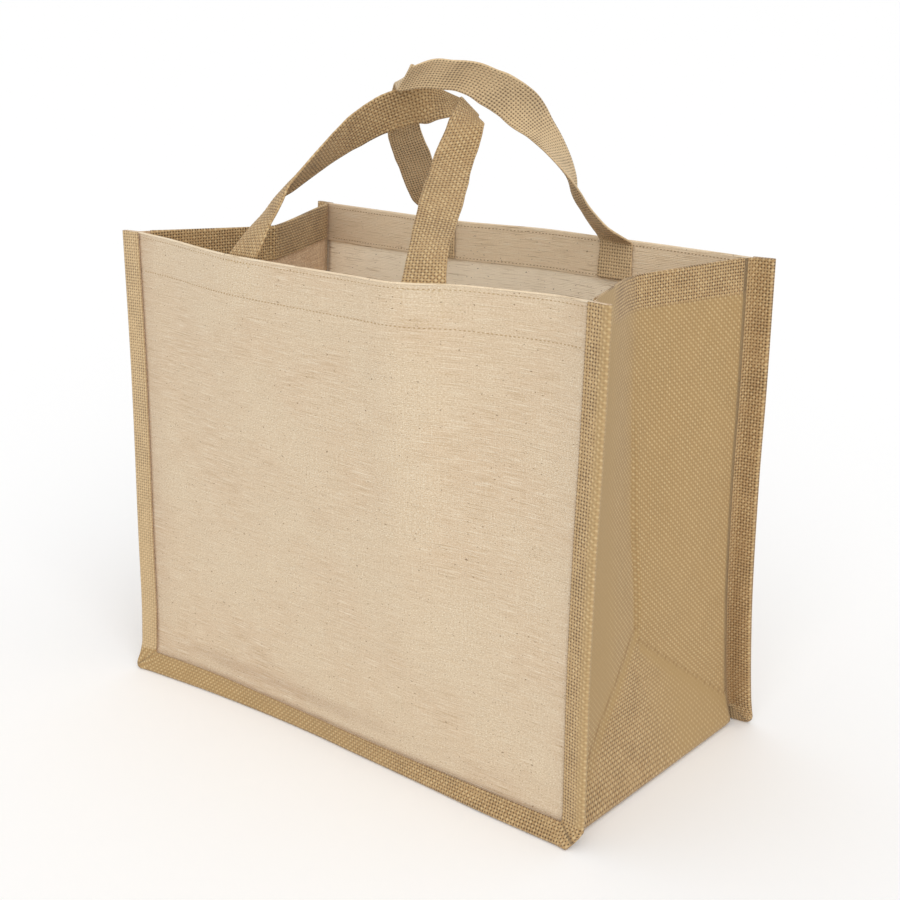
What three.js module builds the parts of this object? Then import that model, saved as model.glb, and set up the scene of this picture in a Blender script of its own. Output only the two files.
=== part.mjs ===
// A jute beach bag that stands open: two cream cloth panels, one jute gusset strip whose edges
// are folded over the panels' edges as a standing border, and two webbing handles.
// Millimetres. X runs along the front panel from left to right, Y from front to back, Z up.
// The origin is the middle of the bag's flat bottom, on the surface that it stands on.

import * as THREE from 'three';

// Driving dimensions
const PANEL_HEIGHT = 340;
const SEAM_X = 193; // from the middle of the bag to the seam line of each side
const BORDER_WIDTH = 16; // the folded edge of the gusset, at the sides
const FOOT_SEAM_Z = 14; // height of the seam line above the surface, along the bottom
const CLOTH = 1.2;
const LAYER_GAP = 0.5; // air between two layers that are sewn to each other
const HEM_DEPTH = 30;
const HEM_CLOTH = 1.4; // what the turned-in layer adds on the inner side
const STRAP_WIDTH = 28;
const STRAP_THICKNESS = 2.2;
const STRAP_GAP = 0.8; // air between a strap's sewn end and the curved hem that it lies on
const STRAP_FOLD_RADIUS = 3.5;

// What follows from them
const LAYER_STEP = CLOTH + LAYER_GAP;
const FOLD_OUTER_RADIUS = LAYER_STEP + CLOTH / 2;
const BORDER_REACH = BORDER_WIDTH - FOLD_OUTER_RADIUS;
const FOOT_REACH = FOOT_SEAM_Z - FOLD_OUTER_RADIUS;
const ROOT_TURN_RADIUS = 2;
const PANEL_EDGE_MARGIN = 3.6; // from a panel's cut edge to the outside of the fold round it
const FLOOR_CLOTH_Z = CLOTH / 2;
const STRAP_SEAT = CLOTH / 2 + HEM_CLOTH + STRAP_GAP + STRAP_THICKNESS / 2;

// Seam lines: Y of the cloth at the left and right side seam, by height
const FRONT_SEAM = [
  { z: 15, left: -102, right: -104 },
  { z: 50, left: -100, right: -104 },
  { z: 110, left: -99, right: -104 },
  { z: 190, left: -97, right: -102 },
  { z: 250, left: -96, right: -99 },
  { z: 340, left: -96, right: -96 },
];
const BACK_SEAM = [
  { z: 15, left: 104, right: 104 },
  { z: 50, left: 99, right: 99 },
  { z: 110, left: 94, right: 94 },
  { z: 190, left: 93, right: 93 },
  { z: 250, left: 95, right: 95 },
  { z: 340, left: 100, right: 96 },
];

// Top edges in plan, and how far the edge hangs below the panel's full height
const FRONT_RIM = [
  { x: -193, y: -96, sag: 0 },
  { x: -154, y: -101, sag: 0.5 },
  { x: -116, y: -109, sag: 1 },
  { x: -81, y: -114, sag: 1.5 },
  { x: -25, y: -116, sag: 1.5 },
  { x: 31, y: -116.5, sag: 1.5 },
  { x: 60, y: -117, sag: 1.5 },
  { x: 80, y: -110, sag: 1.5 },
  { x: 100, y: -100, sag: 1 },
  { x: 132, y: -92, sag: 1 },
  { x: 167, y: -89, sag: 0.5 },
  { x: 193, y: -93, sag: 0 },
];
const BACK_RIM = [
  { x: -193, y: 102, sag: 0 },
  { x: -128, y: 100.5, sag: 0.5 },
  { x: -56, y: 99.5, sag: 1 },
  { x: -20, y: 105, sag: 1 },
  { x: 15, y: 110.5, sag: 1 },
  { x: 65, y: 108, sag: 1 },
  { x: 99, y: 107, sag: 1 },
  { x: 151, y: 101, sag: 0.5 },
  { x: 193, y: 95, sag: 0 },
];

// Bottom seam lines in plan, and how far the border's lower edge stands out from the seam
const FRONT_FOOT = [
  { x: -193, y: -102, flare: 9 },
  { x: -137, y: -98, flare: 8 },
  { x: -80, y: -99, flare: 4 },
  { x: -27, y: -101, flare: 1.5 },
  { x: 19, y: -103, flare: 1.5 },
  { x: 77, y: -104, flare: 3 },
  { x: 137, y: -104, flare: 6.5 },
  { x: 193, y: -103.5, flare: 8 },
];
const BACK_FOOT = [
  { x: -193, y: 104, flare: 5 },
  { x: -80, y: 101, flare: 3 },
  { x: 40, y: 101, flare: 3 },
  { x: 193, y: 104, flare: 6 },
];

// Bottom corners of the border: how much of the square corner is cut along the side and along
// the foot, and how far the cut bulges back towards the square corner (0 straight, 1 square)
const ROUND_CORNER = { alongSide: 8, alongFoot: 8, bulge: 0.55 };
const FRONT_CORNERS = {
  left: { alongSide: 7, alongFoot: 7, bulge: 0.6 },
  right: { alongSide: 13, alongFoot: 9, bulge: 0.08 },
};
const BACK_CORNERS = { left: ROUND_CORNER, right: ROUND_CORNER };

// Shape of a gusset side between its two seams
const CREASE_RISE = 0.257; // the paper-bag triangle leans in by this much for each mm of height
const CREASE_START_Z = 23.3; // below this height the triangle stands outside the seam plane
const APEX_Z = 107;
const SLOPE_LOW = 0.211; // how fast the cloth runs in from a seam, up to the apex
const SLOPE_TOP = 0.396; // and at the top edge
const CREASE_SOFTNESS = 5;
const CREASE_TOP_DROP = 4; // the top edge hangs this much lower at the crease
const CREASE_DROP_START_Z = 280;
const LOWER_SIDE_Z = 58; // below this height the side cloth reaches down past the seam's foot
const SIDE_FOOT_RADIUS = 5;
const SIDE_FOOT_Z = FLOOR_CLOTH_Z + SIDE_FOOT_RADIUS; // where the side turns into the bottom

// Grid lines that the gusset and the panels share
const HEM_STEP_Z = PANEL_HEIGHT - HEM_DEPTH; // the hem's second layer starts here
const HEM_ROW = HEM_STEP_Z + 1;
const LOWER_ROWS = [16, 25, 37, 50, 63, 77, 90, 104, 135, 170, 210, 255];
const SIDE_ROWS = [...LOWER_ROWS, HEM_STEP_Z, HEM_ROW, PANEL_HEIGHT];
const FOOT_COLUMNS = [-187, -150, -116, -86, -58, -20, 20, 48, 68, 96, 125, 155, 187];
const HEM_END_X = 187;
const ROOT_CORNER_RADIUS = 2;
const CORNER_TURNS = [0.25, 0.5, 0.75]; // shares of the quarter turn at a bottom corner
const SIDE_STEPS = 6; // columns from a seam to the crease
const FIRST_SIDE_STEP = 8; // one more column close to the seam

// Handles. Each row is one straight line across the strap: its middle, and the half width
// as a vector. The diagonal row is where the strap is folded over.
const STRAP_LEFT_X = -72;
const STRAP_RIGHT_X = 82;
const STRAP_SEWN_Z = [311, 337];
const FRONT_HANDLE = {
  rising: [
    { x: -60.7, y: -104, z: 357.8, hx: 13.3, hy: -2.4, hz: 3.7 },
    { x: -56.4, y: -99, z: 365.6, hx: 12.5, hy: -5.7, hz: 2.5 },
    { x: -53, y: -93, z: 374.1, hx: 11.5, hy: -7.7, hz: 2.1 },
    { x: -49.6, y: -86, z: 381.2, hx: 8.9, hy: -10.3, hz: 3.3 },
    { x: -47.2, y: -77, z: 388.3, hx: 7.6, hy: -11, hz: 4.1 },
    { x: -42.3, y: -58, z: 402.3, hx: 5.6, hy: -11.1, hz: 6.4 },
    { x: -37.4, y: -36, z: 415.8, hx: 3.1, hy: -9, hz: 10.2 },
    { x: -30.1, y: -16, z: 425.9, hx: 1.6, hy: -6.6, hz: 12.2 },
    { x: -16.8, y: -1, z: 432, hx: 0.8, hy: -5.5, hz: 12.8 },
    { x: -3.4, y: 7, z: 434.3, hx: -6.9, hy: 5.6, hz: 10.8 },
  ],
  fold: { x: 24, y: 8, z: 433.8, hx: -17, hy: 7.6, hz: 7.3 },
  falling: [
    { x: 34, y: -8, z: 422.2, hx: -13.9, hy: -1.4, hz: -0.7 },
    { x: 38, y: -24, z: 402, hx: -10.6, hy: -9.3, hz: -1.7 },
    { x: 46, y: -42, z: 387, hx: -10.8, hy: -8.9, hz: -0.3 },
    { x: 56, y: -62, z: 372, hx: -13, hy: -4.9, hz: 1.5 },
    { x: 70, y: -88, z: 354, hx: -13.6, hy: -3.2, hz: -1 },
  ],
};
const BACK_HANDLE = {
  rising: [
    { x: 78.2, y: 98, z: 342.4, hx: 12.6, hy: -5.9, hz: 1.7 },
    { x: 72.8, y: 95.5, z: 347.5, hx: 11.8, hy: -7.4, hz: 1.3 },
    { x: 68.5, y: 91.5, z: 354.5, hx: 11, hy: -8.5, hz: 1.6 },
    { x: 66.5, y: 85, z: 362.9, hx: 10.3, hy: -9.4, hz: 1.4 },
    { x: 67.9, y: 76, z: 372.4, hx: 8.8, hy: -10.6, hz: 2.2 },
    { x: 69.4, y: 66, z: 384.7, hx: 6.1, hy: -12.6, hz: 1 },
    { x: 64.1, y: 52, z: 404.6, hx: 0.9, hy: -14, hz: -0.7 },
    { x: 59.1, y: 35, z: 422.4, hx: -2.5, hy: -12.5, hz: -5.9 },
    { x: 53.7, y: 18, z: 436.9, hx: -9.1, hy: -3.9, hz: -9.9 },
    { x: 45.4, y: 4, z: 446.2, hx: -10.1, hy: -1.6, hz: -9.5 },
    { x: 35.5, y: -7, z: 452.5, hx: -10.3, hy: 1.7, hz: -9.3 },
    { x: 24.2, y: -15, z: 453.2, hx: -9.6, hy: 3.1, hz: -9.7 },
    { x: 11.7, y: -19, z: 453.1, hx: -9.5, hy: 3, hz: -9.8 },
  ],
  fold: { x: -3.9, y: -24, z: 451.2, hx: -11.7, hy: 4.9, hz: -10 },
  falling: [
    { x: -22, y: 0, z: 448.5, hx: -12.7, hy: 0.5, hz: -4.5 },
    { x: -34, y: 11, z: 432, hx: -11, hy: -4, hz: -7.7 },
    { x: -46, y: 23, z: 413, hx: -12.5, hy: -2, hz: -6 },
    { x: -53, y: 44, z: 387, hx: -13.1, hy: -3.7, hz: -3.1 },
    { x: -61, y: 66, z: 363, hx: -13, hy: -2.5, hz: -4.7 },
    { x: -66, y: 85, z: 350, hx: -13.4, hy: -2.7, hz: -3.2 },
  ],
};

// Cubic curve through the rows of a table, from one named column to another
function curve(rows, from, to) {
  const slopes = rows.map((row, index) => {
    const before = rows[Math.max(index - 1, 0)];
    const after = rows[Math.min(index + 1, rows.length - 1)];
    return (after[to] - before[to]) / (after[from] - before[from]);
  });
  return (position) => {
    const last = rows.length - 1;
    const clamped = THREE.MathUtils.clamp(position, rows[0][from], rows[last][from]);
    const index = Math.max(rows.findIndex((row) => row[from] >= clamped) - 1, 0);
    const a = rows[index];
    const b = rows[index + 1];
    const span = b[from] - a[from];
    const t = (clamped - a[from]) / span;
    const t2 = t * t;
    const t3 = t2 * t;
    return (
      (2 * t3 - 3 * t2 + 1) * a[to] +
      (t3 - 2 * t2 + t) * span * slopes[index] +
      (3 * t2 - 2 * t3) * b[to] +
      (t3 - t2) * span * slopes[index + 1]
    );
  };
}

// The middle surface of a panel. outward is -1 for the front panel and 1 for the back one.
function panelSurface({ seam, rim, foot, outward }) {
  const bulgePower = 1.5;
  const footPower = 4;
  const flareStartZ = 22;
  const borderTurn = 2; // the side borders stand this far out at their outer edge
  const leftSeam = curve(seam, 'z', 'left');
  const rightSeam = curve(seam, 'z', 'right');
  const rimY = curve(rim, 'x', 'y');
  const rimSag = curve(rim, 'x', 'sag');
  const footY = curve(foot, 'x', 'y');
  const flare = curve(foot, 'x', 'flare');
  const betweenSeams = (x, z) => {
    const share = (x + SEAM_X) / (2 * SEAM_X);
    return THREE.MathUtils.lerp(leftSeam(z), rightSeam(z), share);
  };
  const point = (x, z) => {
    const inSeams = THREE.MathUtils.clamp(x, -SEAM_X, SEAM_X);
    const height = THREE.MathUtils.clamp(z / PANEL_HEIGHT, 0, 1);
    const bulge = (rimY(inSeams) - betweenSeams(inSeams, PANEL_HEIGHT)) * height ** bulgePower;
    const footShift = footY(inSeams) - betweenSeams(inSeams, FOOT_SEAM_Z);
    const flareShare = Math.max(0, (flareStartZ - z) / flareStartZ);
    const turnShare = Math.max(0, (Math.abs(x) - SEAM_X) / BORDER_WIDTH);
    const standsOut = flare(inSeams) * flareShare ** 2 + borderTurn * turnShare;
    const y =
      betweenSeams(inSeams, z) +
      bulge +
      footShift * (1 - height) ** footPower +
      outward * standsOut;
    return new THREE.Vector3(x, y, z);
  };
  const layer = (x, z, offset) => {
    const step = 0.5;
    const alongX = point(x + step, z).sub(point(x - step, z));
    const alongZ = point(x, z + step).sub(point(x, z - step));
    const normal = alongX.cross(alongZ).normalize();
    return point(x, z).addScaledVector(normal, -outward * offset);
  };
  return { layer, rimSag, outward };
}

// A closed solid from a grid of middle points. depth(row, column, side) is the cloth's depth
// on one side of the middle. leans(row, column) tells which way a square is cut in two.
function sheetSolid(grid, depth, leans = () => false) {
  const lastRow = grid.length - 1;
  const lastColumn = grid[0].length - 1;
  const at = (row, column) => {
    const heldRow = THREE.MathUtils.clamp(row, 0, lastRow);
    return grid[heldRow][THREE.MathUtils.clamp(column, 0, lastColumn)];
  };
  const sides = [1, -1];
  const positions = [];
  for (const side of sides) {
    for (let row = 0; row <= lastRow; row += 1) {
      for (let column = 0; column <= lastColumn; column += 1) {
        const alongRow = at(row, column + 1).clone().sub(at(row, column - 1));
        const alongColumn = at(row + 1, column).clone().sub(at(row - 1, column));
        const normal = alongRow.cross(alongColumn).normalize();
        const vertex = at(row, column).clone();
        vertex.addScaledVector(normal, side * depth(row, column, side));
        positions.push(vertex.x, vertex.y, Math.max(vertex.z, 0));
      }
    }
  }
  const perSide = grid.length * grid[0].length;
  const index = (row, column, side) => {
    const first = side === 1 ? 0 : perSide;
    return first + row * grid[0].length + column;
  };
  const indices = [];
  const addTriangle = (a, b, c, side = 1) => {
    indices.push(...(side === 1 ? [a, b, c] : [a, c, b]));
  };
  for (const side of sides) {
    for (let row = 0; row < lastRow; row += 1) {
      for (let column = 0; column < lastColumn; column += 1) {
        const a = index(row, column, side);
        const b = index(row, column + 1, side);
        const c = index(row + 1, column + 1, side);
        const d = index(row + 1, column, side);
        if (leans(row, column)) {
          addTriangle(b, c, d, side);
          addTriangle(b, d, a, side);
        } else {
          addTriangle(a, b, c, side);
          addTriangle(a, c, d, side);
        }
      }
    }
  }
  const addEdge = (from, to) => {
    addTriangle(index(...from, 1), index(...from, -1), index(...to, -1));
    addTriangle(index(...from, 1), index(...to, -1), index(...to, 1));
  };
  for (let column = 0; column < lastColumn; column += 1) {
    addEdge([0, column], [0, column + 1]);
    addEdge([lastRow, column + 1], [lastRow, column]);
  }
  for (let row = 0; row < lastRow; row += 1) {
    addEdge([row + 1, 0], [row, 0]);
    addEdge([row, lastColumn], [row + 1, lastColumn]);
  }
  const geometry = new THREE.BufferGeometry();
  geometry.setAttribute('position', new THREE.Float32BufferAttribute(positions, 3));
  geometry.setIndex(indices);
  geometry.computeVertexNormals();
  return geometry;
}

// The outer line of the border round a bottom corner, in x (from the middle) and z
function cornerLine({ alongSide, alongFoot, bulge }) {
  const outerX = SEAM_X + BORDER_WIDTH;
  const onSide = new THREE.Vector2(outerX, alongSide);
  const onFoot = new THREE.Vector2(outerX - alongFoot, 0);
  const tip = new THREE.Vector2(outerX, 0);
  const middle = onSide.clone().add(onFoot).multiplyScalar(0.5).lerp(tip, bulge);
  return [onSide, middle, onFoot];
}

// A panel: flat cloth between and past the seams, thicker at its turned-in top hem
function panelGeometry(panel, corners) {
  const edgeX = SEAM_X + BORDER_WIDTH - PANEL_EDGE_MARGIN;
  const hemFreeX = 190;
  const rightBorder = [hemFreeX, SEAM_X, SEAM_X + BORDER_REACH / 2, edgeX];
  const leftBorder = rightBorder.map((x) => -x).reverse();
  const columns = [...leftBorder, ...FOOT_COLUMNS, ...rightBorder];
  const rows = [PANEL_EDGE_MARGIN, FOOT_SEAM_Z - FOOT_REACH / 2, FOOT_SEAM_Z, ...SIDE_ROWS];
  const borderLimit = (x, z) => {
    const [onSide, middle, onFoot] = cornerLine(x < 0 ? corners.left : corners.right);
    if (z >= onSide.y) {
      return edgeX;
    }
    const [high, low] = z > middle.y ? [onSide, middle] : [middle, onFoot];
    const outlineX = THREE.MathUtils.mapLinear(z, low.y, high.y, low.x, high.x);
    return Math.min(edgeX, outlineX - PANEL_EDGE_MARGIN);
  };
  const place = (x, z) => {
    const pastSeam = Math.max(0, Math.abs(x) - SEAM_X) / (edgeX - SEAM_X);
    const limit = borderLimit(x, z);
    const across = pastSeam > 0 ? Math.sign(x) * (SEAM_X + pastSeam * (limit - SEAM_X)) : x;
    const up = z === PANEL_HEIGHT ? z - panel.rimSag(x) : z;
    return panel.layer(across, up, 0);
  };
  const grid = rows.map((z) => columns.map((x) => place(x, z)));
  const depth = (row, column, side) => {
    const inHem = rows[row] >= HEM_ROW && Math.abs(columns[column]) <= HEM_END_X;
    return inHem && side === panel.outward ? CLOTH / 2 + HEM_CLOTH : CLOTH / 2;
  };
  return sheetSolid(grid, depth);
}

// Stations along the gusset strip: down the left side, along the bottom, up the right side
function stripStations() {
  const side = (hand) => SIDE_ROWS.map((z) => ({ part: 'side', hand, z }));
  const corner = (hand) => CORNER_TURNS.map((turn, order) => ({ part: 'corner', hand, turn, order }));
  const footEnd = SEAM_X - ROOT_CORNER_RADIUS;
  const foot = [-footEnd, ...FOOT_COLUMNS, footEnd].map((x) => ({ part: 'foot', x }));
  return [...side(-1).reverse(), ...corner(-1), ...foot, ...corner(1).reverse(), ...side(1)];
}

// The seam point and the outer point of the border at a station, in x and z
function borderEnds(station, corners) {
  const { part, hand, z, x, turn, order } = station;
  if (part === 'side') {
    const outerX = SEAM_X + BORDER_WIDTH;
    return [new THREE.Vector2(hand * SEAM_X, z), new THREE.Vector2(hand * outerX, z)];
  }
  if (part === 'foot') {
    return [new THREE.Vector2(x, FOOT_SEAM_Z), new THREE.Vector2(x, 0)];
  }
  const angle = (turn * Math.PI) / 2;
  const centreX = SEAM_X - ROOT_CORNER_RADIUS;
  const centreZ = FOOT_SEAM_Z + ROOT_CORNER_RADIUS;
  const root = new THREE.Vector2(
    hand * (centreX + ROOT_CORNER_RADIUS * Math.cos(angle)),
    centreZ - ROOT_CORNER_RADIUS * Math.sin(angle),
  );
  const outer = cornerLine(hand < 0 ? corners.left : corners.right)[order];
  return [root, new THREE.Vector2(hand * outer.x, outer.y)];
}

// The border at one station: flap, fold round the panel's edge, inner layer, turn at the seam
function borderSection(panel, corners, station) {
  const [root, outer] = borderEnds(station, corners);
  const direction = outer.clone().sub(root);
  const reach = direction.length() - FOLD_OUTER_RADIUS;
  direction.normalize();
  const place = (distance, offset) => {
    const spot = root.clone().addScaledVector(direction, distance);
    return panel.layer(spot.x, spot.y, offset);
  };
  const centre = place(reach, 0);
  const along = place(reach + 1, 0).sub(place(reach - 1, 0)).normalize();
  const across = place(reach, 1).sub(centre).normalize();
  const foldAngles = [Math.PI / 4, 0, -Math.PI / 4];
  const fold = foldAngles.map((angle) =>
    centre
      .clone()
      .addScaledVector(along, LAYER_STEP * Math.cos(angle))
      .addScaledVector(across, LAYER_STEP * Math.sin(angle)),
  );
  const halfTurn = ROOT_TURN_RADIUS * (1 - Math.SQRT1_2);
  return [
    place(0, LAYER_STEP),
    place(reach / 2, LAYER_STEP),
    place(reach, LAYER_STEP),
    ...fold,
    place(reach, -LAYER_STEP),
    place(reach / 2, -LAYER_STEP),
    place(ROOT_TURN_RADIUS, -LAYER_STEP),
    place(halfTurn, -LAYER_STEP - halfTurn),
    place(0, -LAYER_STEP - ROOT_TURN_RADIUS),
  ];
}

// How far a gusset side lies inside the seam plane, by height and by distance from a seam
function gussetInset(z, distance) {
  const triangle = CREASE_RISE * (z - CREASE_START_Z);
  const upperShare = THREE.MathUtils.clamp((z - APEX_Z) / (PANEL_HEIGHT - APEX_Z), 0, 1);
  const slope = THREE.MathUtils.lerp(SLOPE_LOW, SLOPE_TOP, upperShare);
  const flank = slope * distance;
  const blend = Math.max(CREASE_SOFTNESS - Math.abs(triangle - flank), 0) / CREASE_SOFTNESS;
  return Math.min(triangle, flank) - (blend * blend * CREASE_SOFTNESS) / 4;
}

// A point of the gusset between its seams. distance runs from the nearer seam to the crease.
function gussetPoint(station, y, distance, toCrease) {
  const { part, hand, z, x, turn } = station;
  const sideFootX = SEAM_X - gussetInset(SIDE_FOOT_Z, toCrease);
  const cornerX = sideFootX - SIDE_FOOT_RADIUS;
  if (part === 'foot') {
    const stretched = (x * cornerX) / (SEAM_X - ROOT_CORNER_RADIUS);
    return new THREE.Vector3(stretched, y, FLOOR_CLOTH_Z);
  }
  if (part === 'corner') {
    const angle = (turn * Math.PI) / 2;
    const across = cornerX + SIDE_FOOT_RADIUS * Math.cos(angle);
    const up = SIDE_FOOT_Z - SIDE_FOOT_RADIUS * Math.sin(angle);
    return new THREE.Vector3(hand * across, y, up);
  }
  const lowest = SIDE_ROWS[0];
  const lowShare = Math.max(0, LOWER_SIDE_Z - z) / (LOWER_SIDE_Z - lowest);
  const footDrop = (lowest - SIDE_FOOT_Z) * lowShare ** 2;
  const topShare = Math.max(0, z - CREASE_DROP_START_Z) / (PANEL_HEIGHT - CREASE_DROP_START_Z);
  const creaseDrop = (CREASE_TOP_DROP * topShare * distance) / toCrease;
  const up = z - footDrop - creaseDrop;
  return new THREE.Vector3(hand * (SEAM_X - gussetInset(up, distance)), y, up);
}

// The gusset from one border to the other at a station
function gussetSection(front, back, station) {
  const frontBorder = borderSection(front, FRONT_CORNERS, station);
  const backBorder = borderSection(back, BACK_CORNERS, station).reverse();
  const frontStart = frontBorder[frontBorder.length - 1].y;
  const backStart = backBorder[0].y;
  const distances = (toCrease) => {
    const steps = Array.from({ length: SIDE_STEPS - 1 }, (_, step) => step + 1);
    return [FIRST_SIDE_STEP, ...steps.map((step) => (step * toCrease) / SIDE_STEPS)];
  };
  const frontHalf = distances(-frontStart).map((distance) =>
    gussetPoint(station, frontStart + distance, distance, -frontStart),
  );
  const backHalf = distances(backStart).map((distance) =>
    gussetPoint(station, backStart - distance, distance, backStart),
  );
  const crease = gussetPoint(station, 0, backStart, backStart);
  return [...frontBorder, ...frontHalf, crease, ...backHalf.reverse(), ...backBorder];
}

function gussetGeometry(front, back) {
  const stations = stripStations();
  const grid = stations.map((station) => gussetSection(front, back, station));
  const columns = grid[0].length;
  const borderColumns = (columns - (2 * SIDE_STEPS + 1)) / 2;
  const middleColumn = (columns - 1) / 2;
  const depth = (row, column, side) => {
    const betweenSeams = column >= borderColumns && column < columns - borderColumns;
    const inHem = stations[row].part === 'side' && stations[row].z >= HEM_ROW;
    return betweenSeams && inHem && side === -1 ? CLOTH / 2 + HEM_CLOTH : CLOTH / 2;
  };
  const leans = (row, column) => {
    const onLeft = row < stations.length / 2;
    return onLeft === column < middleColumn;
  };
  return sheetSolid(grid, depth, leans);
}

// One straight line across a strap, as its two ends
function strapLine(row) {
  const middle = new THREE.Vector3(row.x, row.y, row.z);
  const half = new THREE.Vector3(row.hx, row.hy, row.hz);
  half.setLength(row.length ?? STRAP_WIDTH / 2);
  return [middle.clone().sub(half), middle.clone().add(half)];
}

// The sewn end of a strap, flat on the inner side of a panel's hem
function sewnLines(panel, x, hand) {
  return STRAP_SEWN_Z.map((z) => {
    const left = panel.layer(x - STRAP_WIDTH / 2, z, 0);
    const right = panel.layer(x + STRAP_WIDTH / 2, z, 0);
    const upward = panel.layer(x, z + 1, 0).sub(panel.layer(x, z - 1, 0));
    const across = right.clone().sub(left).normalize();
    const inward = across.clone().cross(upward).normalize().multiplyScalar(panel.outward);
    const middle = left.lerp(right, 0.5).addScaledVector(inward, STRAP_SEAT);
    const half = across.multiplyScalar((hand * STRAP_WIDTH) / 2);
    return [middle.clone().sub(half), middle.clone().add(half)];
  });
}

// The strap goes half round the diagonal line and comes back on its other side
function foldLines(fold, before, after) {
  const middle = new THREE.Vector3(fold.x, fold.y, fold.z);
  const half = new THREE.Vector3(fold.hx, fold.hy, fold.hz);
  const arriving = middle.clone().sub(before).normalize();
  const axis = half.clone().normalize();
  const tip = arriving.clone().addScaledVector(axis, -arriving.dot(axis)).normalize();
  const leaving = after.clone().sub(middle).normalize();
  const across = leaving.clone().cross(arriving).normalize();
  const angles = [-90, -45, 0, 45, 90].map(THREE.MathUtils.degToRad);
  return angles.map((angle) => {
    const centre = middle
      .clone()
      .addScaledVector(across, STRAP_FOLD_RADIUS * Math.sin(angle))
      .addScaledVector(tip, STRAP_FOLD_RADIUS * Math.cos(angle));
    return [centre.clone().sub(half), centre.clone().add(half)];
  });
}

// More lines between the given ones, each edge of the strap on a smooth curve
function smoothLines(lines, steps) {
  const edges = [0, 1].map((edge) => {
    const points = lines.map((line) => line[edge]);
    return new THREE.CatmullRomCurve3(points, false, 'centripetal');
  });
  const count = (lines.length - 1) * steps;
  return Array.from({ length: count + 1 }, (_, index) =>
    edges.map((edge) => edge.getPoint(index / count)),
  );
}

function handleGeometry(panel, { rising, fold, falling }, ends) {
  const stepsBetween = 2;
  const toVector = (row) => new THREE.Vector3(row.x, row.y, row.z);
  const start = sewnLines(panel, ends.from, 1);
  const finish = sewnLines(panel, ends.to, -1).reverse();
  const turn = foldLines(fold, toVector(rising[rising.length - 1]), toVector(falling[0]));
  const up = [start[start.length - 1], ...rising.map(strapLine), turn[0]];
  const down = [turn[turn.length - 1], ...falling.map(strapLine), finish[0]];
  const lines = [
    ...start.slice(0, -1),
    ...smoothLines(up, stepsBetween),
    ...turn.slice(1, -1),
    ...smoothLines(down, stepsBetween),
    ...finish.slice(1),
  ];
  const grid = lines.map(([left, right]) => [left, left.clone().lerp(right, 0.5), right]);
  return sheetSolid(grid, () => STRAP_THICKNESS / 2);
}

function cloth(color, roughness) {
  return new THREE.MeshStandardMaterial({ color, roughness, metalness: 0 });
}

function addPiece(name, geometry, material) {
  const mesh = new THREE.Mesh(geometry, material);
  mesh.name = name;
  group.add(mesh);
}

const group = new THREE.Group();
const front = panelSurface({ seam: FRONT_SEAM, rim: FRONT_RIM, foot: FRONT_FOOT, outward: -1 });
const back = panelSurface({ seam: BACK_SEAM, rim: BACK_RIM, foot: BACK_FOOT, outward: 1 });
const frontEnds = { from: STRAP_LEFT_X, to: STRAP_RIGHT_X };
const backEnds = { from: STRAP_RIGHT_X, to: STRAP_LEFT_X };

addPiece('front_panel', panelGeometry(front, FRONT_CORNERS), cloth(0xdcc8a6, 0.9));
addPiece('back_panel', panelGeometry(back, BACK_CORNERS), cloth(0xdcc8a6, 0.9));
addPiece('gusset', gussetGeometry(front, back), cloth(0xb99d70, 0.85));
addPiece('front_handle', handleGeometry(front, FRONT_HANDLE, frontEnds), cloth(0xc2a67a, 0.85));
addPiece('back_handle', handleGeometry(back, BACK_HANDLE, backEnds), cloth(0xc2a67a, 0.85));

export default group;
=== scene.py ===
"""A jute beach bag that stands open: two cream panels, a jute gusset and two webbing handles.

Shapes are worked out in millimetres and put into the meshes in metres. X runs along the front
panel from left to right, Y from front to back and Z up.
"""

import math

import bpy
import numpy as np
from bpy.props import FloatProperty, FloatVectorProperty, PointerProperty
from mathutils import Matrix


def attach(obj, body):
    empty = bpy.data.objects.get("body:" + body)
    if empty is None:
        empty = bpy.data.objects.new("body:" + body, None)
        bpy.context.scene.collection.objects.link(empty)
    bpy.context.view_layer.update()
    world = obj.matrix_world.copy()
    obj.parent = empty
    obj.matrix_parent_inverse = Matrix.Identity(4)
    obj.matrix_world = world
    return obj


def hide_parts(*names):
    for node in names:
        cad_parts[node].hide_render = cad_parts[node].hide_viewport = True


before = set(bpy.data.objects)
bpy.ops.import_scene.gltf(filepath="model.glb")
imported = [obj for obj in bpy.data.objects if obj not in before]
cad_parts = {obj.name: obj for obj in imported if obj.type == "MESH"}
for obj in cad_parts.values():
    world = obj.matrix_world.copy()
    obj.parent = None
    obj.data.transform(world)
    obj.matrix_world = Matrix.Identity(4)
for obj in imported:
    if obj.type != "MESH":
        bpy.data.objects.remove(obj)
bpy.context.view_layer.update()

bl_info = {
    "name": "Jute beach bag",
    "version": (1, 0, 0),
    "blender": (4, 5, 0),
    "location": "3D Viewport > Sidebar > Jute bag",
    "description": "Builds a jute beach bag from its panels, gusset, handles and sewing",
    "category": "Object",
}

MM = 0.001
BODY = "root"

# Sizes of the cut and sewn bag, in millimetres
PANEL_HEIGHT = 340
SEAM_X = 193  # from the middle of the bag to the seam line of each side
BORDER_WIDTH = 16
FOOT_SEAM_Z = 14
CLOTH = 1.2
LAYER_STEP = 1.7  # from the middle of one sewn layer to the middle of the next
HEM_STEP = 1.4  # the same inside a pressed hem
HEM_DEPTH = 30
HOLED_DEPTH = 25  # of the open weave at the top of a gusset side
OUTER_X = SEAM_X + BORDER_WIDTH
FOLD_OUTER_RADIUS = LAYER_STEP + CLOTH / 2
ROOT_TURN_RADIUS = 4
ROOT_CORNER_RADIUS = 2
PANEL_EDGE_MARGIN = 3.6
FLOOR_CLOTH_Z = CLOTH / 2
UPPER_STITCH = 3.5  # from a hem's top edge down to its upper row of stitches
LOWER_STITCH = 27.5

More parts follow.
